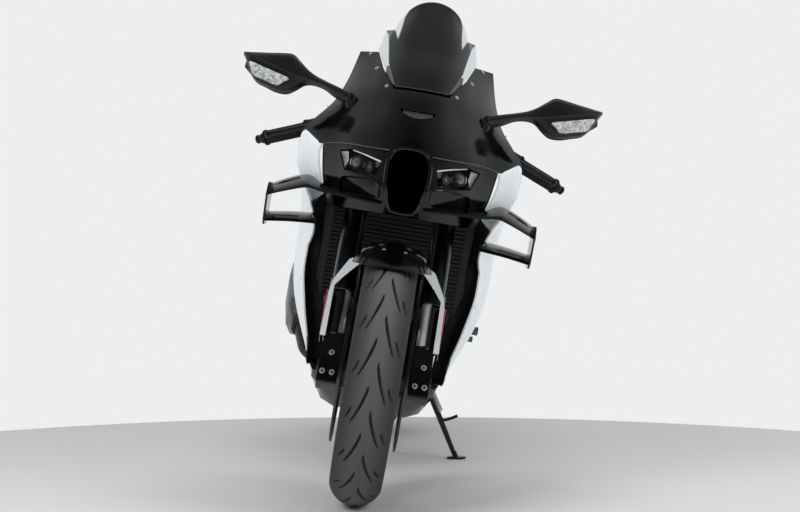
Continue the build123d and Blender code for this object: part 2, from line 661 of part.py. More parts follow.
def rear_shock():
    """Coil-over shock between the swingarm's bridge and the ears on the frame."""
    low, high = Vector(0, 930, 452.6), Vector(0, *SHOCK_TOP)
    along = (high - low).normalized()
    spring = [rod(low + along * (48 + 14 * i), low + along * (55 + 14 * i), 32) for i in range(8)]
    body = rod(low, high, 12) + rod(low + along * 40, low + along * 164, 22)
    eyes = [rod((-14, *e), (14, *e), 18) for e in ((low.Y, low.Z), SHOCK_TOP)]
    eyes[0] += rod((-14, low.Y, low.Z), (14, low.Y, low.Z), 20)
    bolt = rod((-30, *SHOCK_TOP), (30, *SHOCK_TOP), 8)
    node("rear_shock", fused(body, *spring, *eyes, bolt))


CAN_SECTION = ((-0.6, -1), (0.6, -1), (1, -0.55), (1, 0.55), (0.6, 1), (-0.6, 1), (-1, 0.55), (-1, -0.55))
CAN = ((1030, -232, 318, 56, 60), (1090, -240, 345, 84, 120), (1270, -258, 408, 92, 150), (1370, -264, 450, 84, 128))


def exhaust():
    """Header pipes down the engine's front, the collector under it and the silencer on the right."""
    pipes = []
    for x in (-90, -30, 30, 90):
        run = [(x, 520, 545), (x, 446, 480), (x * 0.9, 446, 330), (x * 0.6, 545, 200), (x * 0.5, 630, 196)]
        pipes.append(pipe(run, 19, 34, 17) - engine_barrel(running_gap))
    box = beam([(600, 0, 196, 116, 44), (640, 0, 190, 150, 62), (830, -20, 190, 150, 62), (880, -60, 195, 60, 50)])
    box -= beam([(642, 0, 190, 144, 56), (828, -20, 190, 144, 56)])
    tail = pipe([(-60, 860, 195), (-110, 930, 205), (-205, 985, 262), (-232, 1050, 318)], 25, 40)
    node("exhaust_headers", fused(*pipes, box, tail))
    can, inside = [], []
    for y, x, z, w, h in CAN:
        can.append(polygon([(x + a * w / 2, y, z + b * h / 2) for a, b in CAN_SECTION]))
        inside.append(polygon([(x + a * (w / 2 - 2), y, z + b * (h / 2 - 2)) for a, b in CAN_SECTION]))
    can = loft(can, ruled=True) - loft(inside[1:3], ruled=True)
    outlet = rod((-264, 1362, 450), (-266, 1384, 456), 30) - rod((-264, 1372, 450), (-266, 1390, 456), 26)
    can -= tail
    node("silencer", fused(can, outlet))


def side_stand():
    x, y, z = stand_pivot
    floor = stand_foot_x * tan(lean) + 1.2
    ankle = Vector(stand_foot_x - 14, stand_foot_y + 4, floor + 16)
    leg = rod((x + 6, y, z - 14), ankle, stand_leg_radius + 2, stand_leg_radius)
    eye = rod((x - 4, y, z), (x + 20, y, z), 17) - rod((x - 10, y, z), (x + 30, y, z), 8 + running_gap / 3)
    sole = [(a, a * tan(lean) + running_gap + b) for a, b in (
        (stand_foot_x - 30, 0), (stand_foot_x + 22, 0), (stand_foot_x + 22, 7), (stand_foot_x - 30, 7),
    )]
    sole = front_plate(sole, stand_foot_y - 26, stand_foot_y + 26)
    ankle_block = Pos(*ankle) * Sphere(stand_leg_radius + 3)
    ankle_block += rod(ankle, (stand_foot_x - 8, stand_foot_y, floor + 2), 11)
    tang = rod(ankle, ankle + Vector(6, 58, 34), 5)
    leg -= rod((x - 10, y, z), (x + 30, y, z), 8 + running_gap / 3)
    node("side_stand", fused(leg, eye, sole, ankle_block, tang))
    pin = rod((x - 24, y, z), (x + 24, y, z), 8)
    washer = rod((x + 21, y, z), (x + 25, y, z), 13)
    base = side_plate([(y - 40, z + 60), (y + 30, z + 60), (y + 19, z), (y - 19, z)], 104.3, x - 5, 4)
    base += rod((104, y, z), (x - 4.6, y, z), 19)
    node("stand_bracket", fused(base, pin, washer))


# ---------------------------------------------------------------- bodywork
NOSE_UPPER = (  # height, then (x, y) from the middle to the side
    (800, ((0, -84), (60, -64), (122, -20), (172, 34), (222, 84), (252, 122))),
    (828, ((0, -80), (60, -59), (122, -12), (172, 42), (226, 92), (258, 128))),
    (862, ((0, -64), (56, -44), (112, 2), (158, 54), (204, 100), (232, 134))),
    (902, ((0, -36), (52, -18), (102, 26), (146, 74), (180, 116), (201, 150))),
    (940, ((0, -4), (47, 10), (94, 48), (134, 94), (164, 136), (184, 170))),
    (985, ((0, 52), (45, 62), (90, 96), (124, 136), (152, 174), (172, 208))),
    (1042, ((0, 124), (45, 134), (90, 168), (118, 200), (142, 228), (161, 250))),
)
NOSE_LOWER = (
    (664, ((0, -30), (50, -20), (100, 14), (142, 52), (170, 92))),
    (700, ((0, -72), (56, -54), (110, -10), (152, 40), (184, 84))),
    (735, ((0, -86), (60, -66), (118, -22), (160, 30), (194, 72))),
    (800, ((0, -84), (60, -64), (122, -20), (172, 34), (204, 66))),
)
HEADLIGHT = ((59, 780), (155, 796), (147, 742), (62, 733))
DUCT = ((0, 812), (30, 800), (46, 748), (30, 677), (0, 670))
SCREEN = (
    (948, ((0, 12), (36, 18), (66, 44), (70, 52), (74, 60))),
    (1000, ((0, 74), (48, 86), (84, 120), (100, 142), (112, 172))),
    (1058, ((0, 158), (54, 171), (92, 212), (112, 250), (124, 290))),
    (1112, ((0, 230), (52, 243), (86, 282), (98, 308), (106, 336))),
    (1160, ((0, 295), (40, 304), (64, 326), (72, 340), (78, 352))),
    (1205, ((0, 356), (14, 358), (26, 362), (30, 364), (34, 368))),
)
FAIRING = (  # y, then (x, z) from top to bottom
    (64, ((200, 796), (206, 788), (205, 768), (199, 742), (190, 714), (182, 690), (174, 660), (162, 610))),
    (120, ((248, 797), (258, 790), (260, 775), (258, 748), (236, 705), (210, 660), (198, 610), (180, 540))),
    (260, ((236, 802), (260, 786), (262, 764), (258, 730), (238, 677), (206, 610), (204, 520), (184, 400))),
    (420, ((214, 806), (242, 784), (256, 744), (252, 690), (247, 600), (244, 510), (226, 420), (176, 296))),
    (600, ((196, 800), (228, 768), (246, 716), (248, 650), (244, 570), (238, 480), (216, 390), (168, 258))),
    (780, ((184, 764), (208, 732), (226, 680), (232, 620), (230, 540), (220, 450), (200, 370), (162, 256))),
    (900, ((180, 724), (192, 690), (202, 640), (208, 590), (208, 520), (200, 440), (186, 370), (158, 268))),
)
FAIRING_SIDE = (
    (68, 812), (290, 812), (330, 760), (400, 706), (620, 690), (760, 700), (850, 690), (868, 640), (836, 560),
    (800, 470), (856, 380), (836, 330), (756, 250), (400, 250), (344, 330), (312, 440), (300, 560), (240, 600),
    (150, 650), (68, 690),
)


def grown(points, distance):
    """A small outline pushed outward from its middle."""
    cx = sum(p[0] for p in points) / len(points)
    cz = sum(p[1] for p in points) / len(points)
    result = []
    for x, z in points:
        length = hypot(x - cx, z - cz)
        result.append((x + (x - cx) / length * distance * 1.5, z + (z - cz) / length * distance * 1.5))
    return result


def nose_core(distance):
    """The nose filled in, its outer surface moved outward by a distance, or inward if negative."""
    cores = []
    for table in (NOSE_LOWER, NOSE_UPPER):
        faces = []
        for z, half in table:
            outer = [(-x, y) for x, y in half[:0:-1]] + list(half)
            outer = offset_profile(outer, distance)
            outer += [(outer[-1][0], 320), (outer[0][0], 320)]
            faces.append(polygon([(x, y, z) for x, y in outer]))
        cores.append(loft(faces, ruled=True))
    return cores


def fairing_core(grow):
    """The left fairing filled in to the engine, with its outer surface moved outward."""
    faces = []
    for y, profile in FAIRING:
        outer = [(x + grow, z) for x, z in profile]
        faces.append(polygon([(x, y, z) for x, z in outer + [(100, profile[-1][1]), (100, profile[0][1])]]))
    return loft(faces, ruled=True) & side_plate(FAIRING_SIDE, 90, 300)


SCREEN_SCREWS = ((104, 1004), (114, 1026))


def nose():
    shell = shell_along_z(NOSE_UPPER, wall) + shell_along_z(NOSE_LOWER, wall)
    screen_gap = [(0, 944), (64, 947), (98, 1000), (124, 1062), (124, 1100)]
    screen_gap = [(-x, z) for x, z in screen_gap[:0:-1]] + screen_gap
    shell -= front_plate(screen_gap, -100, 400)
    duct = [(x * 1.02, z) for x, z in DUCT]
    shell -= front_plate([(-x, z) for x, z in duct[-2:0:-1]] + duct, -140, 60)
    for side in (-1, 1):
        shell -= front_plate([(side * x, z) for x, z in grown(HEADLIGHT, 0.6)], -140, 100)
    for x, z in SCREEN_SCREWS:
        post = rod((x, 110, z), (x, 180, z), 4) & nose_core(0)[1]
        shell += post + mirrored(post)
    node("nose_cowl", shell - shell_along_z(SCREEN, 3.0, running_gap))


def lamps():
    depth = 74
    front = [(59, -66, 780), (155, 8, 796), (147, 2, 742), (62, -70, 733)]
    inner = [(59, -66, 780), (59, -66 + depth, 780), (62, -70 + depth, 733), (62, -70, 733)]
    outer = [(153.4, 7, 795), (153.4, 7 + depth, 795), (146.2, 2 + depth, 743), (146.2, 2, 743)]
    lamp = loft([polygon(inner), polygon(outer)], ruled=True)
    node("headlights", *both(lamp))
    outline = [(-x, z) for x, z in DUCT[-2:0:-1]] + list(DUCT)
    mouth = grown(outline, -0.4)
    tube = front_plate(mouth, -84, 112) - front_plate(grown(outline, -5), -90, 96)
    node("ram_intake", tube)


def windscreen():
    shell = shell_along_z(SCREEN, 3.0)
    node("windscreen", shell)


def fairing():
    shell = shell_along_y(FAIRING, wall)
    shell = shell & side_plate(FAIRING_SIDE, 100, 300)
    shell += rod((169.3, 800, 540), (228, 800, 540), 8)
    node("side_fairing_left", shell)
    node("side_fairing_right", mirrored(shell))
    # A panel inside each fairing closes the way past the radiator's end tank.
    closing = side_plate([(346, 676), (350, 676), (404, 372), (400, 372)], 186 + running_gap, 300)
    node("inner_panels", *both(closing & fairing_core(-wall - running_gap)))


def belly():
    """The pan under the engine, open at the top, between the side fairings."""
    stations = []
    for y, w, z in ((420, 164, 240), (480, 167, 196), (600, 164.4, 150), (750, 159.9, 144)):
        half = [(w, 262), (w - 8, (262 + z) / 2), (w - 34, z + 16), (w - 70, z)]
        outer = half + [(-x, q) for x, q in half[::-1]]
        inner = offset_profile(outer, wall)
        stations.append(polygon([(x, y, q) for x, q in outer + inner[::-1]]))
    node("belly_pan", loft(stations, ruled=True))


def tank():
    stations = (
        (352, ((0, 892), (46, 886), (64, 856), (78, 822), (80, 800))),
        (400, ((0, 928), (66, 920), (96, 886), (122, 836), (112, 790))),
        (480, ((0, 952), (86, 942), (142, 905), (164, 840), (130, 772))),
        (600, ((0, 946), (90, 936), (158, 895), (176, 835), (136, 765))),
        (700, ((0, 912), (80, 903), (140, 868), (158, 820), (126, 760))),
        (800, ((0, 862), (60, 856), (100, 836), (112, 800), (94, 766))),
    )
    inside = []
    for y, half in stations:
        middle = (half[0][1] + half[-1][1]) / 2
        y += wall if y < 400 else -wall if y > 750 else 0
        inside.append((y, [(max(x - wall, 0), z - wall if z > middle else z + wall) for x, z in half]))
    body = body_along_y(stations) - body_along_y(inside)
    cap = Pos(0, 520, 950) * Cylinder(38, 10)
    feet = [rod((x, 482, spar_top + 7 * running_gap), (x, 482, 774), 7) for x in (-127, 127)]
    node("fuel_tank", fused(body, cap, *feet))


def seats():
    rider = (
        (806, ((0, 858), (60, 852), (92, 836), (96, 800))),
        (880, ((0, 838), (90, 832), (122, 818), (124, 796))),
        (1000, ((0, 834), (110, 830), (142, 814), (142, 797))),
        (1090, ((0, 848), (104, 844), (132, 828), (132, 813))),
        (1124, ((0, 872), (84, 866), (110, 850), (112, 819))),
    )
    feet = [Pos(s * 97, 960, 793.9) * Box(14, 20, 12) for s in (-1, 1)]
    node("rider_seat", fused(body_along_y(rider), *feet))
    pillion = (
        (1140, ((0, 936), (64, 930), (84, 918), (86, 895.6))),
        (1240, ((0, 950), (76, 944), (96, 932), (84, 913.2))),
        (1390, ((0, 962), (52, 956), (68, 950), (60, 936.6))),
    )
    node("pillion_seat", body_along_y(pillion))


def tail():
    """The tail unit: a hollow cover round the seat rails that ends in a point."""
    stations = (
        (1010, ((0, 790), (112, 788), (138, 776), (130, 748), (100, 742), (0, 742))),
        (1122, ((0, 794), (100, 792), (116, 786), (116, 770), (94, 756), (0, 756))),
        (1130, ((0, 892), (90, 888), (112, 860), (116, 790), (92, 762), (0, 760))),
        (1300, ((0, 922), (74, 918), (98, 892), (100, 830), (72, 800), (0, 796))),
        (1500, ((0, 950), (44, 946), (66, 922), (66, 888), (42, 864), (0, 860))),
        (1610, ((0, 962), (22, 958), (36, 940), (34, 926), (20, 914), (0, 912))),
    )
    inside = (
        (1000, ((0, 800), (110, 798), (128, 774), (120, 752), (94, 730), (0, 730))),
        (1120, ((0, 800), (92, 798), (110, 782), (110, 772), (88, 740), (0, 740))),
        (1132, ((0, 882), (84, 878), (104, 852), (108, 796), (84, 740), (0, 740))),
        (1300, ((0, 912), (66, 908), (88, 886), (90, 834), (64, 780), (0, 780))),
        (1496, ((0, 940), (36, 936), (56, 916), (56, 892), (34, 850), (0, 850))),
    )
    slot = side_plate([(1046, 804), (1096, 804), (1150, 600), (1084, 600)], 100.2, 109.2)
    posts = [rod((x, 1400, 872.6), (x, 1400, 930), 6) for x in (-40, 40)]
    cover = body_along_y(stations) - body_along_y(inside) - slot - mirrored(slot)
    node("tail_fairing", fused(cover, *posts))
    lamp = front_plate([(-30, 936), (30, 936), (26, 918), (-26, 918)], 1610.3, 1624, 4)
    node("tail_light", lamp)


def hanger():
    arm = [(1440, 847.6), (1480, 856.7), (1520, 856), (1700, 716)]
    arm += [(1772, 560), (1760, 552), (1680, 690), (1470, 820)]
    arm = side_plate(arm, -30, 30, 3)
    stalks = [rod((s * 26, 1600, 774), (s * 128, 1604, 770), 6) for s in (-1, 1)]
    lamps = [rod((s * 128, 1604, 770), (s * 176, 1608, 772), 15, 10) for s in (-1, 1)]
    node("tail_hanger", fused(arm, *stalks, *lamps))


def wing(stations):
    """A small wing through (x, leading edge y, z, chord, rise of the trailing edge, thickness) stations."""
    section = ((0, 0), (0.12, 0.45), (0.4, 0.62), (1, 0.12), (1, -0.04), (0.45, -0.22), (0.1, -0.34))
    faces = []
    for x, y, z, chord, rise, t in stations:
        faces.append(polygon([(x, y + a * chord, z + a * rise + b * t) for a, b in section]))
    return loft(faces, ruled=True)


def winglets():
    """Two slats a side, one over the other, joined at their tips by an end plate."""
    upper = wing((
        (50, -52, 682, 60, 6, 12), (182, 0, 690, 96, 12, 14),
        (226, 18, 698, 104, 30, 16), (316, 46, 664, 92, 16, 12),
    ))
    slot = top_cut([(252, 62), (296, 74), (296, 86), (252, 76)], 600, 760)
    lower = wing(((190, 56, 618, 84, 24, 12), (308, 70, 604, 76, 22, 11)))
    plate = side_plate([(44, 668), (58, 684), (142, 684), (154, 640), (144, 600), (78, 594), (58, 620)], 308, 314, 5)
    whole = fused(upper - slot, lower, plate)
    for core in nose_core(running_gap) + [fairing_core(running_gap)]:
        whole -= core
    whole = max(whole.solids(), key=lambda s: s.volume)
    node("winglets", *both(whole))


def mirrors():
    front = [(300, 970), (318, 982), (408, 976), (410, 956), (386, 938), (322, 924), (296, 944)]
    back = [(286, 976), (309, 993), (422, 987), (427, 950), (397, 923), (316, 905), (275, 938)]
    housing = loft([polygon([(x, 112, z) for x, z in front]), polygon([(x, 152, z) for x, z in back])], ruled=True)
    glass = [(x, z) for x, z in grown(back, -4)]
    pocket = front_plate(grown(back, -3.6), 149, 160)
    elbow = (216, 120, 934)
    stalk = fused(rod((150, 104, 900), elbow, 15, 10), rod(elbow, (298, 136, 956), 10, 9), Pos(*elbow) * Sphere(10))
    housing = fused(housing, stalk) - pocket
    for core in nose_core(running_gap):
        housing -= core
    housing = max(housing.solids(), key=lambda s: s.volume)
    node("mirrors", *both(housing))
    node("mirror_glass", *both(front_plate(glass, 149.3, 152)))
    lamp = front_plate([(303, 942), (324, 927), (385, 940), (406, 961), (404, 968)], 108, 112 - running_gap, 2)
    node("mirror_lamps", *both(lamp))


def cockpit():
    panel = side_plate([(170, 912), (200, 1008), (178, 1014), (146, 918)], -92, 92, 5)
    stay = pipe([(0, 172, 940), (0, 172, 850), (0, 262, 774)], 10, 24)
    stay -= rod(steering_head_point(300), steering_head_point(760), 31 + running_gap)
    inside = nose_core(-wall - running_gap)[1]
    arms = [rod((s * 80, 172, 936), (s * 112, 20, 936), 6) & inside for s in (-1, 1)]
    node("instrument_panel", fused(panel, stay, *arms))


PEG_HANGER = [(1050, 800), (1092, 800), (1150, 545), (1128, 530), (1088, 600)]


def footrests():
    plate = side_plate([(850, 470), (905, 500), (985, 420), (1000, 360), (960, 345), (900, 380)], 172, 182, 8)
    spacer = [rod((169.3, 872, 452), (173, 872, 452), 12)]
    peg = rod((182, 935, 392), (268, 935, 390), 12)
    toe = pipe([(180, 965, 366), (214, 965, 366), (214, 800, 372)], 6, 14)
    pedal = rod((211, 812, 372), (250, 812, 372), 8)
    rear_plate = side_plate(PEG_HANGER, 100.7, 108.7, 5)
    rear_peg = rod((104, 1132, 548), (226, 1134, 546), 10)
    for side, name in ((1, "left"), (-1, "right")):
        shapes = [fused(plate, peg, toe, pedal, *spacer), fused(rear_plate, rear_peg)]
        node("footrests_" + name, *[s if side > 0 else mirrored(s) for s in shapes])


def hugger():
    clear = rear_tyre_radius + 9
    half = [(0, clear + wall), (50, clear - 10), (84, clear - 34), (102, clear - 66)]
    inner = [(0, clear), (48, clear - 10 - wall), (81, clear - 34 - wall), (102 - wall, clear - 66)]
    ring = half[::-1] + [(-x, r) for x, r in half[1:]] + [(-x, r) for x, r in inner[::-1]] + inner[1:]
    arch = spun(ring, (rear_axle_y, rear_axle_z), turn=-66, begin=84)
    y, z = rear_axle_y - 254, rear_axle_z + 44
    tabs = [rod((s * 99, y, z), (s * 131.5, y, z), 6) for s in (-1, 1)]
    node("rear_hugger", fused(arch, *tabs))


front_wheel()
rear_wheel()
chain()
fork()
clamps()
handlebars()
calipers()
fender()
frame()
engine()
radiator()
swingarm()
rear_brake()
rear_shock()
exhaust()
side_stand()
nose()
lamps()
windscreen()
fairing()
belly()
tank()
seats()
tail()
hanger()
winglets()
mirrors()
cockpit()
footrests()
hugger()

# ---------------------------------------------------------------- lean, origin and export
parked = Rot(0, lean_angle, 0)
boxes = [(parked * shape).bounding_box() for shape in NODES.values()]
middle_x = (min(b.min.X for b in boxes) + max(b.max.X for b in boxes)) / 2
middle_y = (min(b.min.Y for b in boxes) + max(b.max.Y for b in boxes)) / 2
place = Pos(-middle_x, -middle_y, -min(b.min.Z for b in boxes)) * parked
os.makedirs("parts", exist_ok=True)
for name, shape in NODES.items():
    export_step(place * shape, "parts/" + name + ".step")
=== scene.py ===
"""The look of a faired sport bike parked on its side stand: tyres, castings, bodywork, lamps and studio."""

import json
import math

import bmesh
import bpy
import numpy as np
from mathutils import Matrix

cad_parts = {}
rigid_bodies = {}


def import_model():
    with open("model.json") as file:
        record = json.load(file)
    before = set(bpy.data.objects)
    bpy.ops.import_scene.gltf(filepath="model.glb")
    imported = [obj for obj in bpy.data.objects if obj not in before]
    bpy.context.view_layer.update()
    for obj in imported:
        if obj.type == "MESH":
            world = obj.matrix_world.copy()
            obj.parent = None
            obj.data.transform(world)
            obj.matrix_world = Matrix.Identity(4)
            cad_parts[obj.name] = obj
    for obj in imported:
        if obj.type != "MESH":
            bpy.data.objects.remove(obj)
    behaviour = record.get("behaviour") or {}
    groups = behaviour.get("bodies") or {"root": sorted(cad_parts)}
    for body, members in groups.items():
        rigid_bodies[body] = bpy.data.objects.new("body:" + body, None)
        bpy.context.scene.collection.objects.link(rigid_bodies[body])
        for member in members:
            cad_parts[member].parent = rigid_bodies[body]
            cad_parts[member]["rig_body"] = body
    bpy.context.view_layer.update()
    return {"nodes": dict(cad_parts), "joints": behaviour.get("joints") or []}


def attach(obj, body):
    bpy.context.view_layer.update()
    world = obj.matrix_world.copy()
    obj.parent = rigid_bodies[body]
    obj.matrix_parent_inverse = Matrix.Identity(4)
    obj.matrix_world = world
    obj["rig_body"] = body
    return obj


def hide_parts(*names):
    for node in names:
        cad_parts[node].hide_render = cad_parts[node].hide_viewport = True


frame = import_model()

# ---------------------------------------------------------------- tyres
# Road radials of black rubber with a worn, lighter tread and curved rain grooves, moulded in one piece.
# Each is one closed surface turned around its axle. The bike is drawn upright in millimetres, X to its
# left, Y to the rear from the front axle, Z up, and leans onto its stand as a whole: the front wheel's
# joint gives the lean and the place.
front_spin = next(j for j in frame["joints"] if j["name"] == "front_wheel_spin")
across = np.array(front_spin["axis"], dtype=float)
rearward = np.array([0.0, 1.0, 0.0])
upward = np.cross(across, rearward)
front_axle = (0.0, 299.88)  # mm, (behind, up) on the upright bike
rear_axle = (1450.0, 321.4)
axle_place = np.array(front_spin["pos_m"], dtype=float)


def parked(points):
    """Points of the upright drawing in mm, moved to where the parked bike has them, in metres."""
    p = np.asarray(points, dtype=float) - [0.0, 0.0, front_axle[1]]
    return axle_place + (p[..., :1] * across + p[..., 1:2] * rearward + p[..., 2:] * upward) / 1000.0


def linear(code):
    """An sRGB hex colour as the linear RGBA that shaders take."""
    s = np.array([int(code[i:i + 2], 16) for i in (1, 3, 5)]) / 255.0
    return (*np.where(s <= 0.04045, s / 12.92, ((s + 0.055) / 1.055) ** 2.4), 1.0)


def add_node(material, kind, links=None, settings=None, **sockets):
    """Adds one node with its own settings, its socket values and its links from other sockets."""
    new = material.node_tree.nodes.new(kind)
    for key, value in (settings or {}).items():
        setattr(new, key, value)
    for key, value in sockets.items():
        new.inputs[key.replace("_", " ")].default_value = value
    for key, source in (links or {}).items():
        material.node_tree.links.new(source, new.inputs[key])
    return new


def finish_of(name, code, roughness, **sockets):
    """A material with one principled surface: base colour, roughness and any other sockets."""
    material = bpy.data.materials.new(name)
    material.use_nodes = True
    material.node_tree.nodes.clear()
    sockets = {"Base_Color": linear(code), "Roughness": roughness, **sockets}
    shader = add_node(material, "ShaderNodeBsdfPrincipled", **sockets)
    add_node(material, "ShaderNodeOutputMaterial", {"Surface": shader.outputs[0]})
    return material


def feed(material, **sources):
    """Links sockets of a material's surface, such as Base_Color, to outputs of other nodes."""
    shader = next(n for n in material.node_tree.nodes if n.type == "BSDF_PRINCIPLED")
    for key, source in sources.items():
        material.node_tree.links.new(source, shader.inputs[key.replace("_", " ")])


def speckled(name, code, roughness, depth, scale, detail=2.0, strength=0.4, **sockets):
    """A finish with a fine random relief: depth in mm, scale in grains per metre."""
    material = finish_of(name, code, roughness, **sockets)
    place = {"Vector": add_node(material, "ShaderNodeTexCoord").outputs["Object"]}
    grain = add_node(material, "ShaderNodeTexNoise", place, Scale=scale, Detail=detail)
    relief = {"Height": grain.outputs["Fac"]}
    bump = add_node(material, "ShaderNodeBump", relief, Strength=strength, Distance=depth / 1000)
    feed(material, Normal=bump.outputs["Normal"])
    return material


def two_tones(material, share, first, second):
    """A colour that goes from a first to a second one by another node's share."""
    mix = add_node(material, "ShaderNodeMix", {"Factor": share}, {"data_type": "RGBA"})
    mix.inputs["A"].default_value, mix.inputs["B"].default_value = linear(first), linear(second)
    return mix.outputs["Result"]


def sheet(name, points, material, loops=(False, False), **marks):
    """An object of quads over a grid of upright points (rows, columns, 3); a loop joins last to first."""
    index = np.arange(points.shape[0] * points.shape[1]).reshape(points.shape[:2])
    for axis in (0, 1):
        if loops[axis]:
            index = np.concatenate([index, np.take(index, [0], axis)], axis)
    quads = np.stack([index[:-1, :-1], index[1:, :-1], index[1:, 1:], index[:-1, 1:]], -1).reshape(-1, 4)
    mesh = bpy.data.meshes.new(name)
    mesh.from_pydata(parked(points).reshape(-1, 3).tolist(), [], quads.tolist())
    for key, values in marks.items():
        mesh.attributes.new(key, "FLOAT", "POINT").data.foreach_set("value", np.ravel(values))
    mesh.shade_smooth()
    mesh.materials.append(material)
    made = bpy.data.objects.new(name, mesh)
    bpy.context.collection.objects.link(made)
    return made


def face_outward(mesh, merge=0.0):
    """Merges points nearer to each other than merge metres and turns a closed mesh's faces outward."""
    work = bmesh.new()
    work.from_mesh(mesh)
    if merge:
        bmesh.ops.remove_doubles(work, verts=work.verts, dist=merge)
    bmesh.ops.recalc_face_normals(work, faces=work.faces)
    work.to_mesh(mesh)
    work.free()


def bezier(points, count):
    """Even steps of t along the cubic (1-t)^3 a + 3 t (1-t)^2 b + 3 t^2 (1-t) c + t^3 d."""
    a, b, c, d = (np.array(p, dtype=float) for p in points)
    t = np.linspace(0.0, 1.0, count)[:, None]
    return (1 - t) ** 3 * a + 3 * t * (1 - t) ** 2 * b + 3 * t ** 2 * (1 - t) * c + t ** 3 * d


def tyre(name, axle, radius, width, crown, rim_width, pitches):
    """A tyre as rings of one closed profile.

    The tread is the arc r = radius - crown + sqrt(crown^2 - w^2). Its grooves sink along the arc's
    normal by depth * smooth(2.2 - 2.2 |w - w_c(s)| / half_width(s)), flat at the bottom, where s runs
    along one pitch and w_c is the groove's centre line, steeper away from the middle. The other half
    of the tread is half a pitch later.
    """
    bead_radius, casing, groove_depth = 219.0, 14.0, 4.5  # mm
    bead = (rim_width / 2 - 9, bead_radius)
    edge = width / 2 - 1.5
    half = np.linspace(0.0, 1.0, 46)
    w = np.concatenate([-edge * np.sin(half[::-1] * math.pi / 2), edge * np.sin(half[1:] * math.pi / 2)])
    r = radius - crown + np.sqrt(crown ** 2 - w ** 2)
    slope = edge / math.sqrt(crown ** 2 - edge ** 2)
    side = bezier([(w[-1], r[-1]), (w[-1] + 3, r[-1] - 3 * slope - 6), (bead[0] + 8, bead[1] + 18), bead], 14)
    inside = bezier([bead, (edge - 14, 232), (edge - 10, r[-1] + 4), (0, radius - casing)], 14)
    turn = np.concatenate([side[1:], inside[1:]])
    back = np.concatenate([inside[-2:0:-1], side[:0:-1]]) * [-1, 1]
    profile = np.concatenate([np.stack([w, r], -1), turn, back])
    tread = len(w)
    steps = pitches * 38
    pitch = 2 * math.pi * radius / pitches
    angle = 2 * math.pi * np.arange(steps)[:, None] / steps
    arc = crown * np.arcsin(w / crown)[None, :]
    s = np.mod(-angle * radius + np.where(w > 0, 0.5, 0.0) * pitch, pitch)
    depth = np.zeros((steps, tread))
    for start, length, inner, outer, half_width in (  # a long groove and a short one near the edge
        (0.0, 0.86 * pitch, 0.10, 0.62, 3.6), (0.50 * pitch, 0.30 * pitch, 0.66, 0.90, 3.0),
    ):
        share = np.clip((s - start) / length, 0.0, 1.0)
        centre = (inner + (outer - inner) * share ** 1.4) * edge
        taper = half_width * np.clip(np.sin(math.pi * share ** 0.8), 0.0, None) ** 0.4 + 1e-6
        near = np.clip(2.2 - 2.2 * np.abs(np.abs(arc) - centre) / taper, 0.0, 1.0)
        depth = np.maximum(depth, groove_depth * near * near * (3 - 2 * near))
    ring_w = np.tile(profile[:, 0], (steps, 1))
    ring_r = np.tile(profile[:, 1], (steps, 1))
    ring_w[:, :tread] -= depth * w / crown
    ring_r[:, :tread] -= depth * np.sqrt(1 - (w / crown) ** 2)
    points = np.stack([ring_w, axle[0] - ring_r * np.cos(angle), axle[1] + ring_r * np.sin(angle)], -1)
    wear = np.zeros(ring_w.shape)
    wear[:, :tread] = np.clip(1.35 - np.abs(w) / (0.74 * edge), 0.12, 1.0) * np.clip(1 - depth / 1.2, 0, 1)
    made = sheet(name, points, rubber, (True, True), wear=wear)
    face_outward(made.data)
    return made


# Tyre rubber: near black walls, a tread scrubbed to dusty grey where it meets the road.
rubber = speckled("tyre rubber", "#161616", 0.72, 0.4, 420.0, detail=3.0, strength=0.25)
worn = add_node(rubber, "ShaderNodeAttribute", settings={"attribute_name": "wear"})
feed(rubber, Base_Color=two_tones(rubber, worn.outputs["Fac"], "#161616", "#535351"))


def fitted(made, body, *nodes):
    """Lets a piece move with a body and stand for the CAD nodes that it shows in more detail."""
    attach(made, body)
    if nodes:
        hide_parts(*nodes)
    return made


front_tyre = tyre("front_tyre_piece", front_axle, 299.0, 120.0, 62.0, 96.0, 18)
fitted(front_tyre, "front_wheel", "front_tyre")
rear_tyre = tyre("rear_tyre_piece", rear_axle, 320.0, 190.0, 100.0, 160.0, 18)
fitted(rear_tyre, "rear_wheel", "rear_tyre")

# ---------------------------------------------------------------- castings, forgings and turned parts
# Powder coated castings, anodised forgings, ground steel, pipes, moulded plastics and the radiator: their
# real shapes are the solids, so each is a copy of its solid with the doubles merged and its edges broken
# by a small radius, as cast and machined parts have, which lets every edge catch the light.


def eased(made, width=0.9, least=40):
    """Rounds a piece's real edges, those over an angle in degrees, so that they catch the light."""
    edge = made.modifiers.new("edge", "BEVEL")
    edge.width, edge.segments = width / 1000.0, 2
    edge.angle_limit, edge.harden_normals = math.radians(least), True
    return made


def broken_edges(name, material, width=0.8):
    """A copy of a CAD node, doubles merged, flat facets joined and edges over 38 degrees rounded by mm."""
    source = frame["nodes"][name]
    work = bmesh.new()
    work.from_mesh(source.data)
    bmesh.ops.remove_doubles(work, verts=work.verts, dist=0.00001)
    bmesh.ops.dissolve_limit(work, angle_limit=math.radians(0.6), verts=work.verts, edges=work.edges)
    mesh = bpy.data.meshes.new(name + "_piece")
    work.to_mesh(mesh)
    work.free()
    mesh.shade_smooth()
    mesh.set_sharp_from_angle(angle=math.radians(32))
    mesh.materials.clear()
    mesh.materials.append(material)
    made = bpy.data.objects.new(name + "_piece", mesh)
    bpy.context.collection.objects.link(made)
    return fitted(eased(made, width, 38), source["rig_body"], name)


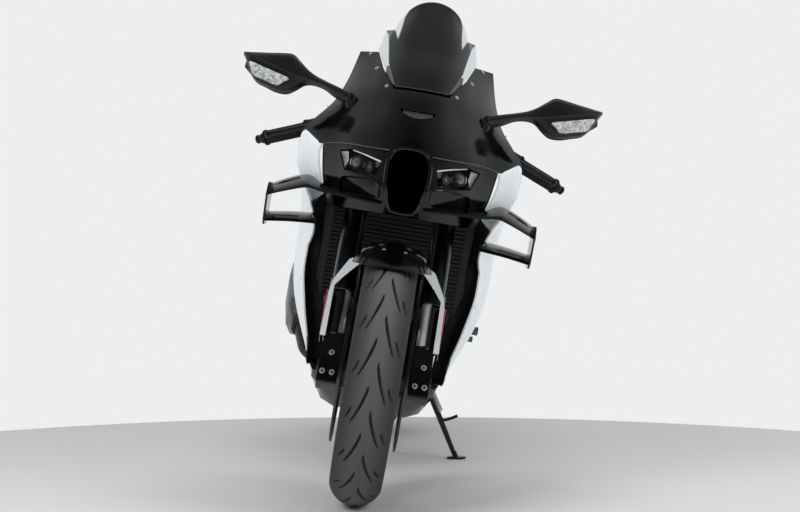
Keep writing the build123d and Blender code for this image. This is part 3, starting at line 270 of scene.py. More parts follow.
# Powder coat: satin black over cast aluminium, with the faint orange peel of the sprayed powder.
powder_coat = speckled("satin black powder coat", "#131315", 0.38, 0.15, 900.0)
for name in ("frame", "swingarm", "triple_clamps", "clip_ons", "stand_bracket", "front_rim", "rear_rim"):
    broken_edges(name, powder_coat)

# Anodised aluminium: dark and metallic with a soft sheen, on the calipers and levers.
anodised = finish_of("black anodised aluminium", "#2a2c2f", 0.3, Metallic=0.85)
for name in ("front_calipers", "rear_caliper", "levers"):
    broken_edges(name, anodised)

# Forged aluminium left bare: paler and softer, so that the footrests stand out from the black.
bare_aluminium = finish_of("forged aluminium", "#6c6f72", 0.35, Metallic=0.7)
for name in ("footrests_left", "footrests_right"):
    broken_edges(name, bare_aluminium)

# The engine is sand cast and painted dark grey: rougher, with a visible grain.
cast_grey = speckled("cast aluminium painted grey", "#2b2c2e", 0.55, 0.4, 500.0, Metallic=0.3)
broken_edges("engine", cast_grey, 1.5)

# Stainless steel: ground discs with their fine circular sheen, axles, sprocket and header pipes.
ground_steel = finish_of("ground stainless steel", "#56575a", 0.3, Metallic=1.0)
for name in ("front_discs", "rear_disc", "front_axle", "axle_and_pivot_bolt", "rear_sprocket"):
    broken_edges(name, ground_steel, 0.4)

header_steel = finish_of("heat tinted stainless steel", "#4a4541", 0.32, Metallic=1.0)
broken_edges("exhaust_headers", header_steel)
broken_edges("silencer", finish_of("brushed titanium", "#5b5a59", 0.36, Metallic=1.0), 1.5)
broken_edges("chain", finish_of("oiled chain steel", "#3a3834", 0.35, Metallic=1.0), 0.4)
broken_edges("rear_shock", anodised, 0.5)

# Moulded parts of black polypropylene and nylon: matt, with a fine spark-eroded grain.
grained_plastic = speckled("black polypropylene", "#0d0d0e", 0.5, 0.08, 1500.0)
for name in ("rear_hugger", "tail_hanger", "instrument_panel", "inner_panels"):
    broken_edges(name, grained_plastic)

# The radiator: soldered aluminium fins between black end tanks, dull with dust and darkened further as
# painted shade, so that its middle stays dark.
fin_metal_and_shade = finish_of("radiator aluminium, darkened as painted shade", "#3d3b36", 0.45, Metallic=0.4)
broken_edges("radiator", fin_metal_and_shade, 0.2)

# ---------------------------------------------------------------- fork
# An upside down fork: chromed stanchions in cast feet slide in black anodised tubes. Moulded guards
# shield the stanchions from stones, and steel socket screws pinch the axle and hold the calipers.
rake = math.radians(25.0)
leg_x = 105.0  # mm from the middle plane to each leg
stanchion_radius = 21.6
foot_top, tube_foot = 80.0, 186.0  # mm up the leg from the axle
along_leg = np.array([0.0, math.sin(rake), math.cos(rake)])
ahead_of_leg = np.array([0.0, -math.cos(rake), math.sin(rake)])
each_side = ((1, "left"), (-1, "right"))


def walled(made, wall, offset=0.0):
    """Gives a sheet a wall in mm: centred on it at offset 0, or all behind its face at -1."""
    solid = made.modifiers.new("wall", "SOLIDIFY")
    solid.thickness, solid.offset = wall / 1000.0, offset
    return made


def up_the_fork(x, height, ahead=0.0):
    """A point at a height along a fork leg from the axle, and ahead of the leg's line."""
    return np.array([x, 0.0, front_axle[1]]) + height * along_leg + ahead * ahead_of_leg


def merged(mesh, sharp=40):
    """Merges the points that lie on each other, such as a turned piece's poles, and turns the faces out."""
    face_outward(mesh, 0.000001)
    mesh.shade_smooth()
    mesh.set_sharp_from_angle(angle=math.radians(sharp))


def closed(name, rings, material, sharp=40):
    """A closed piece from rings of upright points, its edges sharp from an angle in degrees."""
    made = sheet(name, rings, material, (False, True))
    merged(made.data, sharp)
    return made


def full_turn(count):
    """Even angles around a circle."""
    return np.linspace(0, 2 * math.pi, count, endpoint=False)


def with_ends(rings):
    """Rings with a point at each end, in the middle of the last ring, which closes the form."""
    first, last = (np.broadcast_to(ring.mean(0), (1, *ring.shape)) for ring in (rings[0], rings[-1]))
    return np.concatenate([first, rings, last])


def turned(name, centre, axis, profile, material, sides=32):
    """A turned piece: a profile of (along, radius) mm spun about an axis through a centre."""
    axis = np.array(axis, dtype=float) / np.linalg.norm(axis)
    first = np.cross(axis, [0.0, 0.0, 1.0] if abs(axis[2]) < 0.9 else [1.0, 0.0, 0.0])
    first /= np.linalg.norm(first)
    second = np.cross(axis, first)
    turn = full_turn(sides)[:, None]
    p = np.array(profile, dtype=float)
    circle = np.cos(turn) * first + np.sin(turn) * second
    return closed(name, np.array(centre) + p[:, None, :1] * axis + p[:, None, 1:] * circle, material)


def socket_screw(name, centre, axis, radius, material, body):
    """A cap head with its recess: the head stands 0.6 radius proud of the surface, and a black six sided
    piece in the recess is painted shade.
    """
    head = ((-0.3, 0), (-0.3, 1), (0.5, 1), (0.62, 0.88), (0.62, 0.5), (0.1, 0.44), (0.1, 0))
    fitted(turned(name, centre, axis, radius * np.array(head), material, 20), body)
    # Painted shade: a black six sided piece darkens the bottom of the recess, whatever the head's finish.
    recess_shade = ((0.1, 0), (0.1, 0.5), (0.3, 0.5), (0.3, 0))
    fitted(turned(name + "_socket_shade", centre, axis, radius * np.array(recess_shade), powder_coat, 6), body)


# Hard chrome: a near mirror, which shows the pale room as long white bars.
chrome = finish_of("hard chrome", "#d8dadc", 0.06, Metallic=1.0)
# Painted highlight: the stanchions get a near white, barely metallic colour that stands in for the chrome's
# reflection of the pale room as white bars.
stanchion_painted_highlight = finish_of("hard chrome, painted highlight", "#f6f7f8", 0.2, Metallic=0.2)  # the stanchions' pale bars
fork_black = finish_of("gloss black anodised fork", "#0b0b0c", 0.2, Metallic=0.2)
# Smoked polypropylene guards: dark and glossy beside the chrome; zinc plate: a dull pale grey.
guard_plastic = finish_of("smoked fork guard", "#0d100f", 0.12, Coat_Weight=0.5)
# Painted highlight: the zinc's pale grey is partly its own and partly the heads' glint, given as diffuse
# colour so small heads show bright.
zinc_and_painted_sheen = finish_of("zinc plated steel, painted sheen", "#c2c4c3", 0.4, Metallic=0.6)
broken_edges("fork_tubes", fork_black)
broken_edges("fork_legs", fork_black)
for side, word in each_side:
    bare = tube_foot - foot_top
    sleeve = [(0, 0), (0, stanchion_radius), (bare, stanchion_radius), (bare, 0)]
    foot = up_the_fork(side * leg_x, foot_top)
    fitted(turned(f"stanchion_{word}", foot, along_leg, sleeve, stanchion_painted_highlight, 48), "steering")
    # On the left leg the guard leaves a bar of the stanchion bare, where its painted highlight shows.
    guard_start = 0 if side > 0 else -20  # degrees round the leg; the left one leaves a bar of chrome bare
    sweep = np.radians(np.linspace(guard_start, 128, 40))[None, :, None]
    height = np.linspace(foot_top - 8, tube_foot - 3, 12)[:, None, None]
    shell = up_the_fork(side * leg_x, 0) + height * along_leg
    shell = shell + 25.0 * (np.sin(sweep) * [side, 0, 0] + np.cos(sweep) * ahead_of_leg)
    fitted(walled(sheet(f"fork_guard_{word}", shell, guard_plastic), 2.5), "steering")
    for number, (x, height, ahead) in enumerate(((-11, -24, 33), (11, -24, 33), (3, 24, 29.5))):
        spot = up_the_fork(side * leg_x + x, height, ahead)
        socket_screw(f"pinch_screw_{word}_{number}", spot, ahead_of_leg, 6.4, zinc_and_painted_sheen, "steering")

# ---------------------------------------------------------------- side stand
# A tapered forged leg on a pivot bolt, with an oval sole, a tang for the boot and a return spring of
# hard drawn wire hooked beside it. All but the spring and its hook is powder coated.


def spring(name, start, end, coil, wire, turns, material):
    """A coil spring: the wire's circle lies in the plane of the coil's radius and the spring's axis."""
    start, end = np.array(start, dtype=float), np.array(end, dtype=float)
    along = (end - start) / np.linalg.norm(end - start)
    second = np.cross(along, rearward)
    t = np.linspace(0, 1, turns * 20)[:, None]
    out = np.cos(2 * math.pi * turns * t) * rearward + np.sin(2 * math.pi * turns * t) * second
    around = full_turn(8)[None, :, None]
    line = start + t * (end - start) + coil * out
    rings = line[:, None] + wire * (np.cos(around) * out[:, None] + np.sin(around) * along)
    return closed(name, with_ends(rings), material)


def tube(name, path, radius, material, sides=12):
    """A round bar along a path: circles square to it, of one radius in mm or one for each point."""
    path = np.asarray(path, dtype=float)
    along = np.gradient(path, axis=0)
    along /= np.linalg.norm(along, axis=1)[:, None]
    first = np.cross(along, [0.0, 1.0, 0.0])
    first /= np.linalg.norm(first, axis=1)[:, None] + 1e-9
    second = np.cross(along, first)
    turn = full_turn(sides)[None, :, None]
    size = np.broadcast_to(radius, len(path))[:, None, None]
    rings = path[:, None] + size * (np.cos(turn) * first[:, None] + np.sin(turn) * second[:, None])
    return closed(name, with_ends(rings), material)


stand_pivot, stand_ankle = np.array([128.0, 800.0, 262.0]), np.array([250.0, 783.0, 58.0])
leg_top = stand_pivot + [7, 0, -15]  # clear of the pivot bolt's bore
leg_path = leg_top + np.linspace(0, 1, 24)[:, None] * (stand_ankle - leg_top)
boss = [(-3.6, 8.5), (-3.6, 14), (-2, 16.5), (17, 16.5), (19.6, 14), (19.6, 8.5), (-3.6, 8.5)]
sole_turn = full_turn(40)
tang_path = ((198, 790, 140), (214, 784, 144), (230, 779, 153), (243, 777, 161))
sole_rings = []
for share, height in ((0.0, 0.5), (0.94, 0.5), (1.0, 2.0), (1.0, 5.0), (0.92, 6.5), (0.0, 6.5)):
    x, y = 259 + 26 * share * np.cos(sole_turn), 780 + 19 * share * np.sin(sole_turn)
    sole_rings.append(np.stack([x, y, x * math.tan(math.acos(upward[2])) + height], -1))
for made in (
    closed("stand_sole", np.array(sole_rings), powder_coat),
    tube("stand_leg", leg_path, np.linspace(9.5, 6.5, 24), powder_coat, 20),
    turned("stand_boss", stand_pivot, (1, 0, 0), boss, powder_coat),
    tube("stand_ankle", np.linspace((249, 783, 62), (257, 780, 48), 4), 7.5, powder_coat, 16),
    tube("stand_tang", tang_path, 4.2, powder_coat),
):
    fitted(made, "side_stand", "side_stand")
fitted(spring("stand_spring", (158.8, 780, 223.8), (196.4, 776, 166.1), 5.5, 1.6, 13, chrome), "side_stand")
hook = [(0, 0), (0, 4), (16, 3), (16, 0)]
fitted(turned("stand_hook", (150, 782, 236), (0.55, 0, -0.84), hook, zinc_and_painted_sheen, 16), "side_stand")

# ---------------------------------------------------------------- nose
# The upper cowl: a thin shell of gloss black ABS, injection moulded, screwed to the stay of the
# instruments. It wraps around the screen's opening, and its lower edge hoods the lamps.

# Gloss black ABS: a hard polished skin that is black face on and bright at the edges that turn away.
gloss_black = finish_of(
    "gloss black ABS", "#040404", 0.12, Specular_IOR_Level=0.36, Coat_Weight=0.12, Coat_Roughness=0.03
)
# The same ABS at a mould's rolled edge, coloured paler as a painted highlight: the thin lines where the edges
# reflect the light.
edge_painted_highlight = finish_of("gloss black ABS, painted edge highlight", "#54575a", 0.25)


def eased_between(a, b, c, d, f):
    """The Catmull-Rom cubic from b to c at shares f: each slope is half the neighbours' difference."""
    return b + 0.5 * f * (c - a + f * (2 * a - 5 * b + 4 * c - d + f * (3 * (b - c) + d - a)))


def through(points, count, axis=0):
    """Even steps along the smooth curve through points."""
    p = np.moveaxis(np.asarray(points, dtype=float), axis, 0)
    p = np.concatenate([2 * p[:1] - p[1:2], p, 2 * p[-1:] - p[-2:-1]])
    t = np.linspace(0.0, len(p) - 3, count)
    k = np.minimum(t.astype(int), len(p) - 4)
    f = (t - k).reshape(-1, *[1] * (p.ndim - 1))
    return np.moveaxis(eased_between(*(p[k + i] for i in range(4)), f), 0, axis)


def looped(points, count, axis=0):
    """Even steps along the closed smooth curve through points."""
    p = np.moveaxis(np.asarray(points, dtype=float), axis, 0)
    t = np.arange(count) * len(p) / count
    k = t.astype(int)
    f = (t - k).reshape(-1, *[1] * (p.ndim - 1))
    return np.moveaxis(eased_between(*(p[(k + i) % len(p)] for i in (-1, 0, 1, 2)), f), 0, axis)


def rows_of(table, axis):
    """Control points of a body table: each station lies square to an axis, 1 rearward or 2 up."""
    return np.array([[np.insert(np.array(p, float), axis, at) for p in outline] for at, outline in table])


def both_halves(rows):
    """Rows that start on the middle plane, carried to the other side."""
    return np.concatenate([rows[:, :0:-1] * [-1, 1, 1], rows], axis=1)


def finished(made):
    """Makes the modifiers part of the mesh, with faces outward and shading smooth up to real edges."""
    graph = bpy.context.evaluated_depsgraph_get()
    made.data = bpy.data.meshes.new_from_object(made.evaluated_get(graph))
    made.modifiers.clear()
    face_outward(made.data)
    made.data.set_sharp_from_angle(angle=math.radians(32))
    return made


def carve(made, outline, axis, low, high, operation="DIFFERENCE"):
    """Cuts a prism from a solid: its outline is seen along axis 0 (from the side) or 1 (from the front)."""
    flat = np.array(outline, dtype=float)
    ends = np.stack([np.insert(flat, axis, low, axis=1), np.insert(flat, axis, high, axis=1)])
    count = len(flat)
    around = [(i, (i + 1) % count, (i + 1) % count + count, i + count) for i in range(count)]
    mesh = bpy.data.meshes.new("cutter")
    faces = [range(count), range(count, 2 * count), *around]
    mesh.from_pydata(parked(ends).reshape(-1, 3).tolist(), [], faces)
    face_outward(mesh)
    cutter = bpy.data.objects.new("cutter", mesh)
    bpy.context.collection.objects.link(cutter)
    cut = made.modifiers.new("cut", "BOOLEAN")
    cut.operation, cut.object = operation, cutter
    finished(made)
    bpy.data.objects.remove(cutter)


def mirrored(outline):
    """A front view's half outline with its other half, as one loop."""
    half = np.array(outline, dtype=float)
    return np.concatenate([half, half[::-1] * [-1, 1]])


def smooth_grid(rows, down, over):
    """The smooth surface through rows of control points, in even steps down and over."""
    return through(through(rows, down), over, axis=1)


def panel(name, rows, material, wall=3.5, fine=(70, 120)):
    """A moulded panel: the smooth surface through the rows' control points, with a wall's thickness."""
    return finished(walled(sheet(name, smooth_grid(rows, *fine), material), wall))


def on_skin(grid, points, deeper=0.0):
    """Points (x, z) of the front view laid on a skin, deeper mm behind it.

    Each starts at the nearest grid point and slides along the skin's two tangents there.
    """
    down, over = np.gradient(grid, axis=0).reshape(-1, 3), np.gradient(grid, axis=1).reshape(-1, 3)
    flat, spots = grid.reshape(-1, 3), np.asarray(points, dtype=float)
    near = np.argmin(np.linalg.norm(flat[None, :, ::2] - spots[:, None], axis=-1), axis=1)
    base, u, v = flat[near], down[near], over[near]
    dx, dz = (spots - base[:, ::2]).T
    spread = u[:, 0] * v[:, 2] - u[:, 2] * v[:, 0]
    spread = np.where(np.abs(spread) < 1e-9, 1e-9, spread)
    along_u, along_v = (dx * v[:, 2] - dz * v[:, 0]) / spread, (dz * u[:, 0] - dx * u[:, 2]) / spread
    y = base[:, 1] + np.clip(along_u, -1, 1) * u[:, 1] + np.clip(along_v, -1, 1) * v[:, 1]
    return np.stack([spots[:, 0], y + deeper, spots[:, 1]], -1)


def facing(grid, point, proud=0.0):
    """A spot (x, z) on a skin and the direction away from it, for a screw's place and axis."""
    x, z = point
    spot, over, above = on_skin(grid, [(x, z), (x + 4, z), (x, z + 4)])
    out = np.cross(over - spot, above - spot)
    out *= -np.sign(out[1]) / np.linalg.norm(out)
    return spot + proud * out, out


def dish(name, grid, outline, steps, material, count=72):
    """A sunk moulding: rings of one front view outline, each a share of it and a depth behind the skin."""
    loop = looped(outline, count)
    middle = loop.mean(axis=0)
    rings = [on_skin(grid, middle + (loop - middle) * share, depth) for share, depth in steps]
    return finished(walled(sheet(name, np.array(rings), material, (False, True)), 1.5, -1.0))


nose_upper_rows = (  # height, then (x, y) from the middle to the side, in mm
    (800, ((0, -84), (60, -64), (122, -20), (172, 34), (222, 84), (252, 122))),
    (828, ((0, -80), (60, -59), (122, -12), (172, 42), (226, 92), (258, 128))),
    (862, ((0, -64), (56, -44), (112, 2), (158, 54), (204, 100), (232, 134))),
    (902, ((0, -36), (52, -18), (102, 26), (146, 74), (180, 116), (201, 150))),
    (940, ((0, -4), (47, 10), (94, 48), (134, 94), (164, 136), (184, 170))),
    (985, ((0, 52), (45, 62), (90, 96), (124, 136), (152, 174), (172, 208))),
    (1042, ((0, 124), (45, 134), (90, 168), (118, 200), (142, 228), (161, 250))),
)
screen_opening = ((64, 947), (98, 1000), (124, 1062), (124, 1120))
duct_outline = ((18, 810), (36, 800), (46, 776), (46, 748), (40, 712), (28, 678), (14, 671))
slit_outline = ((-41, 902), (0, 900), (41, 902), (37, 893), (22, 884), (0, 881), (-22, 884), (-37, 893))
cowl_rows = both_halves(rows_of(nose_upper_rows, 2))
cowl_grid = smooth_grid(cowl_rows, 200, 400)
nose = panel("upper_cowl", cowl_rows, gloss_black)
carve(nose, mirrored(screen_opening), 1, -200, 400)
carve(nose, mirrored(duct_outline), 1, -200, 60)
carve(nose, slit_outline, 1, -200, 60)
corner_waste = np.array([(204, 790), (256, 829), (300, 829), (300, 740), (204, 740)])  # white shows below
for side, _ in each_side:
    carve(nose, corner_waste * [side, 1], 1, -200, 300)

# The air slit under the screen: a shallow smile with a ribbed insert of unpainted grey plastic.
grey_plastic = finish_of("grey polypropylene", "#4b4c4b", 0.5)
slit_steps = ((1.03, -0.8), (1.0, -0.6), (0.96, 1.5), (0.94, 7.0), (0.0, 7.0))
fitted(dish("slit_dish", cowl_grid, slit_outline, slit_steps, gloss_black), "chassis", "nose_cowl")
for number, x in enumerate(np.linspace(-32, 32, 17)):
    lowest = 884.0 + 9.0 * (x / 34) ** 2
    rib = on_skin(cowl_grid, [(x, lowest), (x, 899.0)], 3.5)
    rib = np.concatenate([rib - [1.2, 0, 0], rib[::-1] + [1.2, 0, 0]])
    block = np.stack([rib, rib + [0, 5.0, 0]])
    block = np.concatenate([np.broadcast_to(block[0].mean(0), (1, 4, 3)), block])
    fitted(closed(f"slit_rib_{number}", block, grey_plastic), "chassis")

# The chin under the cowl's edge holds the lamps: the same gloss black ABS, one moulding around the duct,
# with a shallow tray under each lamp.
nose_lower_rows = (
    (664, ((0, -30), (50, -20), (100, 14), (142, 52), (170, 92))),
    (700, ((0, -72), (56, -54), (110, -10), (152, 40), (184, 84))),
    (735, ((0, -86), (60, -66), (118, -22), (160, 30), (194, 72))),
    (800, ((0, -78), (60, -58), (122, -14), (172, 40), (204, 72))),
)
lamp_outline = (
    (60, 777), (97, 788), (132, 796), (163, 790), (154, 768), (144, 746), (108, 741), (74, 737), (66, 756),
)
tray_outline = (
    (57, 726), (66, 733), (82, 735), (114, 734), (147, 731), (151, 714), (146, 698), (112, 695), (70, 692),
    (57, 696), (55, 711),
)
tray_steps = (
    (1.03, -1.2), (1.0, -2.2), (0.97, -0.4), (0.94, 6.0), (0.90, 8.0), (0.6, 8.0), (0.3, 8.0), (0.0, 8.0),
)
chin_rows = both_halves(rows_of(nose_lower_rows, 2))
chin_grid = smooth_grid(chin_rows, 160, 400)
chin = panel("chin_cowl", chin_rows, gloss_black)
carve(chin, mirrored(duct_outline), 1, -200, 60)
for side, word in each_side:
    carve(chin, np.array(lamp_outline) * [side, 1], 1, -200, 60)
    carve(chin, np.array(tray_outline) * [side, 1], 1, -200, 60)
    tray = dish(f"chin_tray_{word}", chin_grid, np.array(tray_outline) * [side, 1], tray_steps, gloss_black)
    fitted(tray, "chassis", "nose_cowl")
for shell in (nose, chin):
    fitted(eased(shell), "chassis", "nose_cowl")

# Rolled edges, where the mouldings end: over the lamps, along the chin and down the cowl's sides, pale as a
# painted highlight.
brow_line = through([(48, 803), (96, 804), (140, 806), (176, 805), (202, 800)], 60)
for side, word in each_side:
    brow = on_skin(cowl_grid, brow_line * [side, 1], -0.6)
    fitted(tube(f"brow_bead_{word}", brow, 1.5, edge_painted_highlight), "chassis")
    edge = on_skin(chin_grid, through([(50, 681), (90, 690), (130, 697), (168, 703)], 50) * [side, 1], -0.4)
    fitted(tube(f"chin_bead_{word}", edge, 1.3, edge_painted_highlight), "chassis")
    seam = on_skin(cowl_grid, through([(178, 862), (206, 886), (214, 893)], 30) * [side, 1], -0.3)
    fitted(tube(f"cowl_seam_{word}", seam, 0.8, edge_painted_highlight), "chassis")
    for number, (x, z) in enumerate(((134, 1036), (111, 996), (80, 951))):
        spot, out = facing(cowl_grid, (side * x, z), 1.5)
        socket_screw(f"screen_screw_{word}_{number}", spot, out, 4.6, zinc_and_painted_sheen, "chassis")
    spot, out = facing(cowl_grid, (side * 244, 806), 3.0)
    socket_screw(f"cowl_corner_screw_{word}", spot, out, 5.5, zinc_and_painted_sheen, "chassis")

# ---------------------------------------------------------------- windscreen
# A bubble of acrylic, blow formed 3 mm thick: smoked nearly black in the middle, clear at its wings,
# and screwed to the cowl along its lower edge. A black painted strut runs up each side of the bubble.
screen_rows = (
    (948, ((0, 12), (36, 18), (66, 44), (70, 52), (74, 60))),
    (1000, ((0, 74), (48, 86), (84, 120), (100, 142), (112, 172))),
    (1058, ((0, 158), (54, 171), (92, 212), (112, 250), (124, 290))),
    (1112, ((0, 230), (52, 243), (86, 282), (98, 308), (112, 336))),
    (1160, ((0, 295), (40, 304), (64, 326), (74, 340), (84, 352))),
    (1205, ((0, 356), (24, 358), (42, 362), (52, 366), (62, 370))),
)
screen_side = through(((60, 955), (72, 964), (92, 996), (121, 1056)), 24)
screen_top = np.array([(89, 1112), (84, 1132), (76, 1152), (64, 1172), (46, 1189), (24, 1200), (0, 1204.0)])
screen_top = through(np.concatenate([screen_top, screen_top[-2::-1] * [-1, 1]]), 121)
screen_outline = np.concatenate([
    screen_side, [(111, 1113)], screen_top, [(-111, 1113)], screen_side[::-1] * [-1, 1],
])
screen_grid = smooth_grid(both_halves(rows_of(screen_rows, 2)), 150, 150)
wide, high = np.abs(screen_grid[..., 0]), screen_grid[..., 2]
strut_outside = np.interp(high, (960, 1016, 1058, 1096, 1113), (64, 87, 94, 101, 110))
strut_inside = np.interp(high, (960, 1078, 1112), (0, 76, 90))
middle_edge = np.interp(high, (1070, 1110, 1150, 1175, 1190), (78, 73, 70, 61, 60))
clear_wing = np.clip((wide - strut_outside) / 1.5, 0, 1)
clear_side = np.clip((wide - middle_edge) / 1.5, 0, 1) * np.clip((high - 1076) / 6, 0, 1)
inside_strut, above_strut = np.clip((strut_inside - wide) / 1.5, 0, 1), np.clip((high - 1114) / 1.5, 0, 1)
clear_side = clear_side * np.maximum(inside_strut, above_strut)
screen = sheet("screen_bubble", screen_grid, None, smoke=1 - np.maximum(clear_wing, clear_side))
finished(walled(screen, 3.0))
carve(screen, screen_outline, 1, -200, 600, "INTERSECT")

# Smoked acrylic: a polished sheet; the dye leaves the middle almost opaque and ends at the wings.
acrylic = finish_of("smoked acrylic", "#0a0c0b", 0.05, Specular_IOR_Level=0.3)
dye = add_node(acrylic, "ShaderNodeAttribute", settings={"attribute_name": "smoke"})
density = add_node(acrylic, "ShaderNodeMapRange", {"Value": dye.outputs["Fac"]}, To_Min=0.22, To_Max=0.99)
tone = two_tones(acrylic, dye.outputs["Fac"], "#8b9196", "#0a0c0b")
feed(acrylic, Base_Color=tone, Alpha=density.outputs["Result"])
screen.data.materials.clear()
screen.data.materials.append(acrylic)
fitted(screen, "chassis", "windscreen")

# ---------------------------------------------------------------- side fairings
# Pearl white painted ABS panels that wrap the radiator and engine, one to a side, held by quick
# fasteners along the nose, the belly pan and the frame.

# Pearl paint under clear lacquer: cool white with a sharp second reflection.
gloss_white = finish_of("pearl white paint", "#dde4e9", 0.25, Coat_Weight=1.0, Coat_Roughness=0.04)
fairing_rows = (  # distance behind the axle, then (x, z) from top to bottom
    (64, ((200, 794), (205, 786), (205, 768), (199, 742), (190, 714), (182, 690), (174, 660), (162, 610))),
    (90, ((228, 812), (232, 804), (232, 785), (226, 752), (208, 712), (194, 676), (184, 636), (170, 574))),
    (120, ((251, 827), (257, 818), (259, 790), (256, 752), (234, 706), (210, 660), (198, 610), (180, 540))),
    (160, ((254, 818), (261, 806), (262, 780), (258, 742), (236, 698), (210, 650), (198, 596), (182, 510))),
    (260, ((236, 802), (260, 786), (262, 764), (258, 730), (238, 677), (206, 610), (204, 520), (184, 400))),
    (420, ((214, 806), (242, 784), (256, 744), (252, 690), (247, 600), (244, 510), (226, 420), (176, 296))),
    (600, ((196, 800), (228, 768), (246, 716), (248, 650), (244, 570), (238, 480), (216, 390), (168, 258))),
    (780, ((184, 764), (208, 732), (226, 680), (232, 620), (230, 540), (220, 450), (200, 370), (162, 256))),
    (900, ((180, 724), (192, 690), (202, 640), (208, 590), (208, 520), (200, 440), (186, 370), (158, 268))),
)
fairing_side = (
    (68, 800), (90, 815), (118, 830), (150, 829), (200, 812), (290, 806), (330, 760), (400, 706), (620, 690),
    (760, 700), (850, 690), (868, 640), (836, 560), (800, 470), (856, 380), (836, 330), (756, 250),
    (400, 250), (344, 330), (312, 440), (300, 560), (240, 600), (150, 650), (68, 690),
)
fastener_spots = ((330, 480), (420, 300), (700, 280), (790, 400), (820, 660), (480, 688), (150, 700))
fairing_skin = smooth_grid(rows_of(fairing_rows, 1), 120, 160).reshape(-1, 3)


def fairing_width(y, z):
    """How far out the left fairing's skin is at a point of the side view."""
    return fairing_skin[np.argmin((fairing_skin[:, 1] - y) ** 2 + (fairing_skin[:, 2] - z) ** 2), 0]


for side, word in each_side:
    fairing = panel(f"fairing_panel_{word}", rows_of(fairing_rows, 1) * [side, 1, 1], gloss_white)
    carve(fairing, fairing_side, 0, min(120 * side, 300 * side), max(120 * side, 300 * side), "INTERSECT")
    fitted(eased(fairing), "chassis", f"side_fairing_{word}")
    for number, (y, z) in enumerate(fastener_spots):
        spot = (side * (fairing_width(y, z) + 1.2), y, z)  # 1.2 mm proud
        socket_screw(f"fairing_screw_{word}_{number}", spot, (side, 0, 0), 5.0, gloss_white, "chassis")

# Behind each panel's leading edge a black liner leads the air to the radiator and closes the space
# beside the engine: one thin moulding from the edge to the radiator's side and the block.
liner_black = speckled("black polypropylene liner", "#09090a", 0.45, 0.08, 1500.0)
edge_line = (
    (80, 690), (150, 652), (240, 604), (299, 560), (306, 500), (313, 440), (344, 336), (384, 280), (430, 262),
)
near_radiator = np.array((
    (150, 348, 690), (184, 348, 664), (184, 352, 612), (184, 356, 560), (184, 372, 500), (160, 392, 440),
    (146, 430, 352), (142, 450, 290), (140, 462, 266),
), dtype=float)
for side, word in each_side:
    rows = []
    for (y, z), inner in zip(edge_line, near_radiator):
        outer = np.array([fairing_width(y, z) - 2.5, y + 4, z])
        step = inner - outer
        rows.append([outer, outer + step * [0.12, 0.3, 0.3], outer + step * [0.4, 0.66, 0.66], inner])
    liner_grid = smooth_grid(np.array(rows) * [side, 1, 1], 60, 24)
    fitted(walled(sheet(f"fairing_liner_{word}", liner_grid, liner_black), 2.0), "chassis")

# ---------------------------------------------------------------- lamps and duct
# Each headlight is a clear polycarbonate cover set flush in the chin over a metallised dish with a
# projector lens, its ring, a small reflector, a facet at the outer end and a pale strip under the brow.
clear_cover = finish_of("clear polycarbonate", "#101112", 0.02, Alpha=0.06)
metallised = finish_of("metallised lamp dish", "#606366", 0.18, Metallic=1.0)
# Painted reflection: the projector lens is a pale, half metallic grey that stands in for what its glass
# reflects.
lens_painted_reflection = finish_of("projector lens, painted reflection", "#7f8588", 0.03, Metallic=0.6, Coat_Weight=1.0)
pale_strip = finish_of("opal light strip", "#dfe2e2", 0.3)
for side, word in each_side:
    corners = np.array(lamp_outline) * [side, 1]
    cover = panel(f"lamp_cover_{word}", chin_rows, clear_cover, 2.0, (40, 90))
    carve(cover, corners, 1, -200, 60, "INTERSECT")
    bowl_steps = ((1.02, 3.0), (1.0, 6.0), (0.90, 24.0), (0.72, 30.0), (0.5, 24.0), (0.3, 30.0), (0.0, 26.0))
    bowl = dish(f"lamp_dish_{word}", chin_grid, corners, bowl_steps, metallised, 18)
    bowl.data.set_sharp_from_angle(angle=math.radians(4))
    eye = on_skin(chin_grid, [(side * 117, 766)], 16)[0]
    lens = [(-7, 0), (-6, 5), (-4, 9), (0, 12), (4, 13), (14, 13), (14, 0)]
    ring = [(1, 13.5), (-1, 15), (2, 17), (16, 17), (16, 13.5), (1, 13.5)]
    low_eye = on_skin(chin_grid, [(side * 88, 758)], 14)[0]
    cup = [(0, 10.5), (-2, 9.5), (3, 8), (8, 5), (10, 0), (12, 0), (12, 10), (0, 10.5)]
    facet = np.array(((141, 789), (159, 787), (152, 770), (144, 752), (137, 768))) * [side, 1]
    cone = np.stack([on_skin(chin_grid, facet, 4.0), on_skin(chin_grid, facet[[2] * 5], 12.0)])
    under_brow = on_skin(chin_grid, through([(63, 775), (97, 785), (130, 793)], 24) * [side, 1], 3.0)
    lower = on_skin(chin_grid, through([(70, 734), (96, 737), (146, 743)], 24) * [side, 1], -0.4)
    for made in (
        cover, bowl, turned(f"projector_lens_{word}", eye, (0, 1, 0), lens, lens_painted_reflection),
        turned(f"projector_ring_{word}", eye, (0, 1, 0), ring, chrome),
        turned(f"low_reflector_{word}", low_eye, (0, 1, 0), cup, chrome),
        closed(f"lamp_facet_{word}", cone, zinc_and_painted_sheen, 10),
        tube(f"brow_strip_{word}", under_brow, np.linspace(2.4, 1.0, 24), pale_strip),
        tube(f"lamp_sill_{word}", lower, 1.2, chrome),
    ):
        fitted(made, "chassis", "headlights")

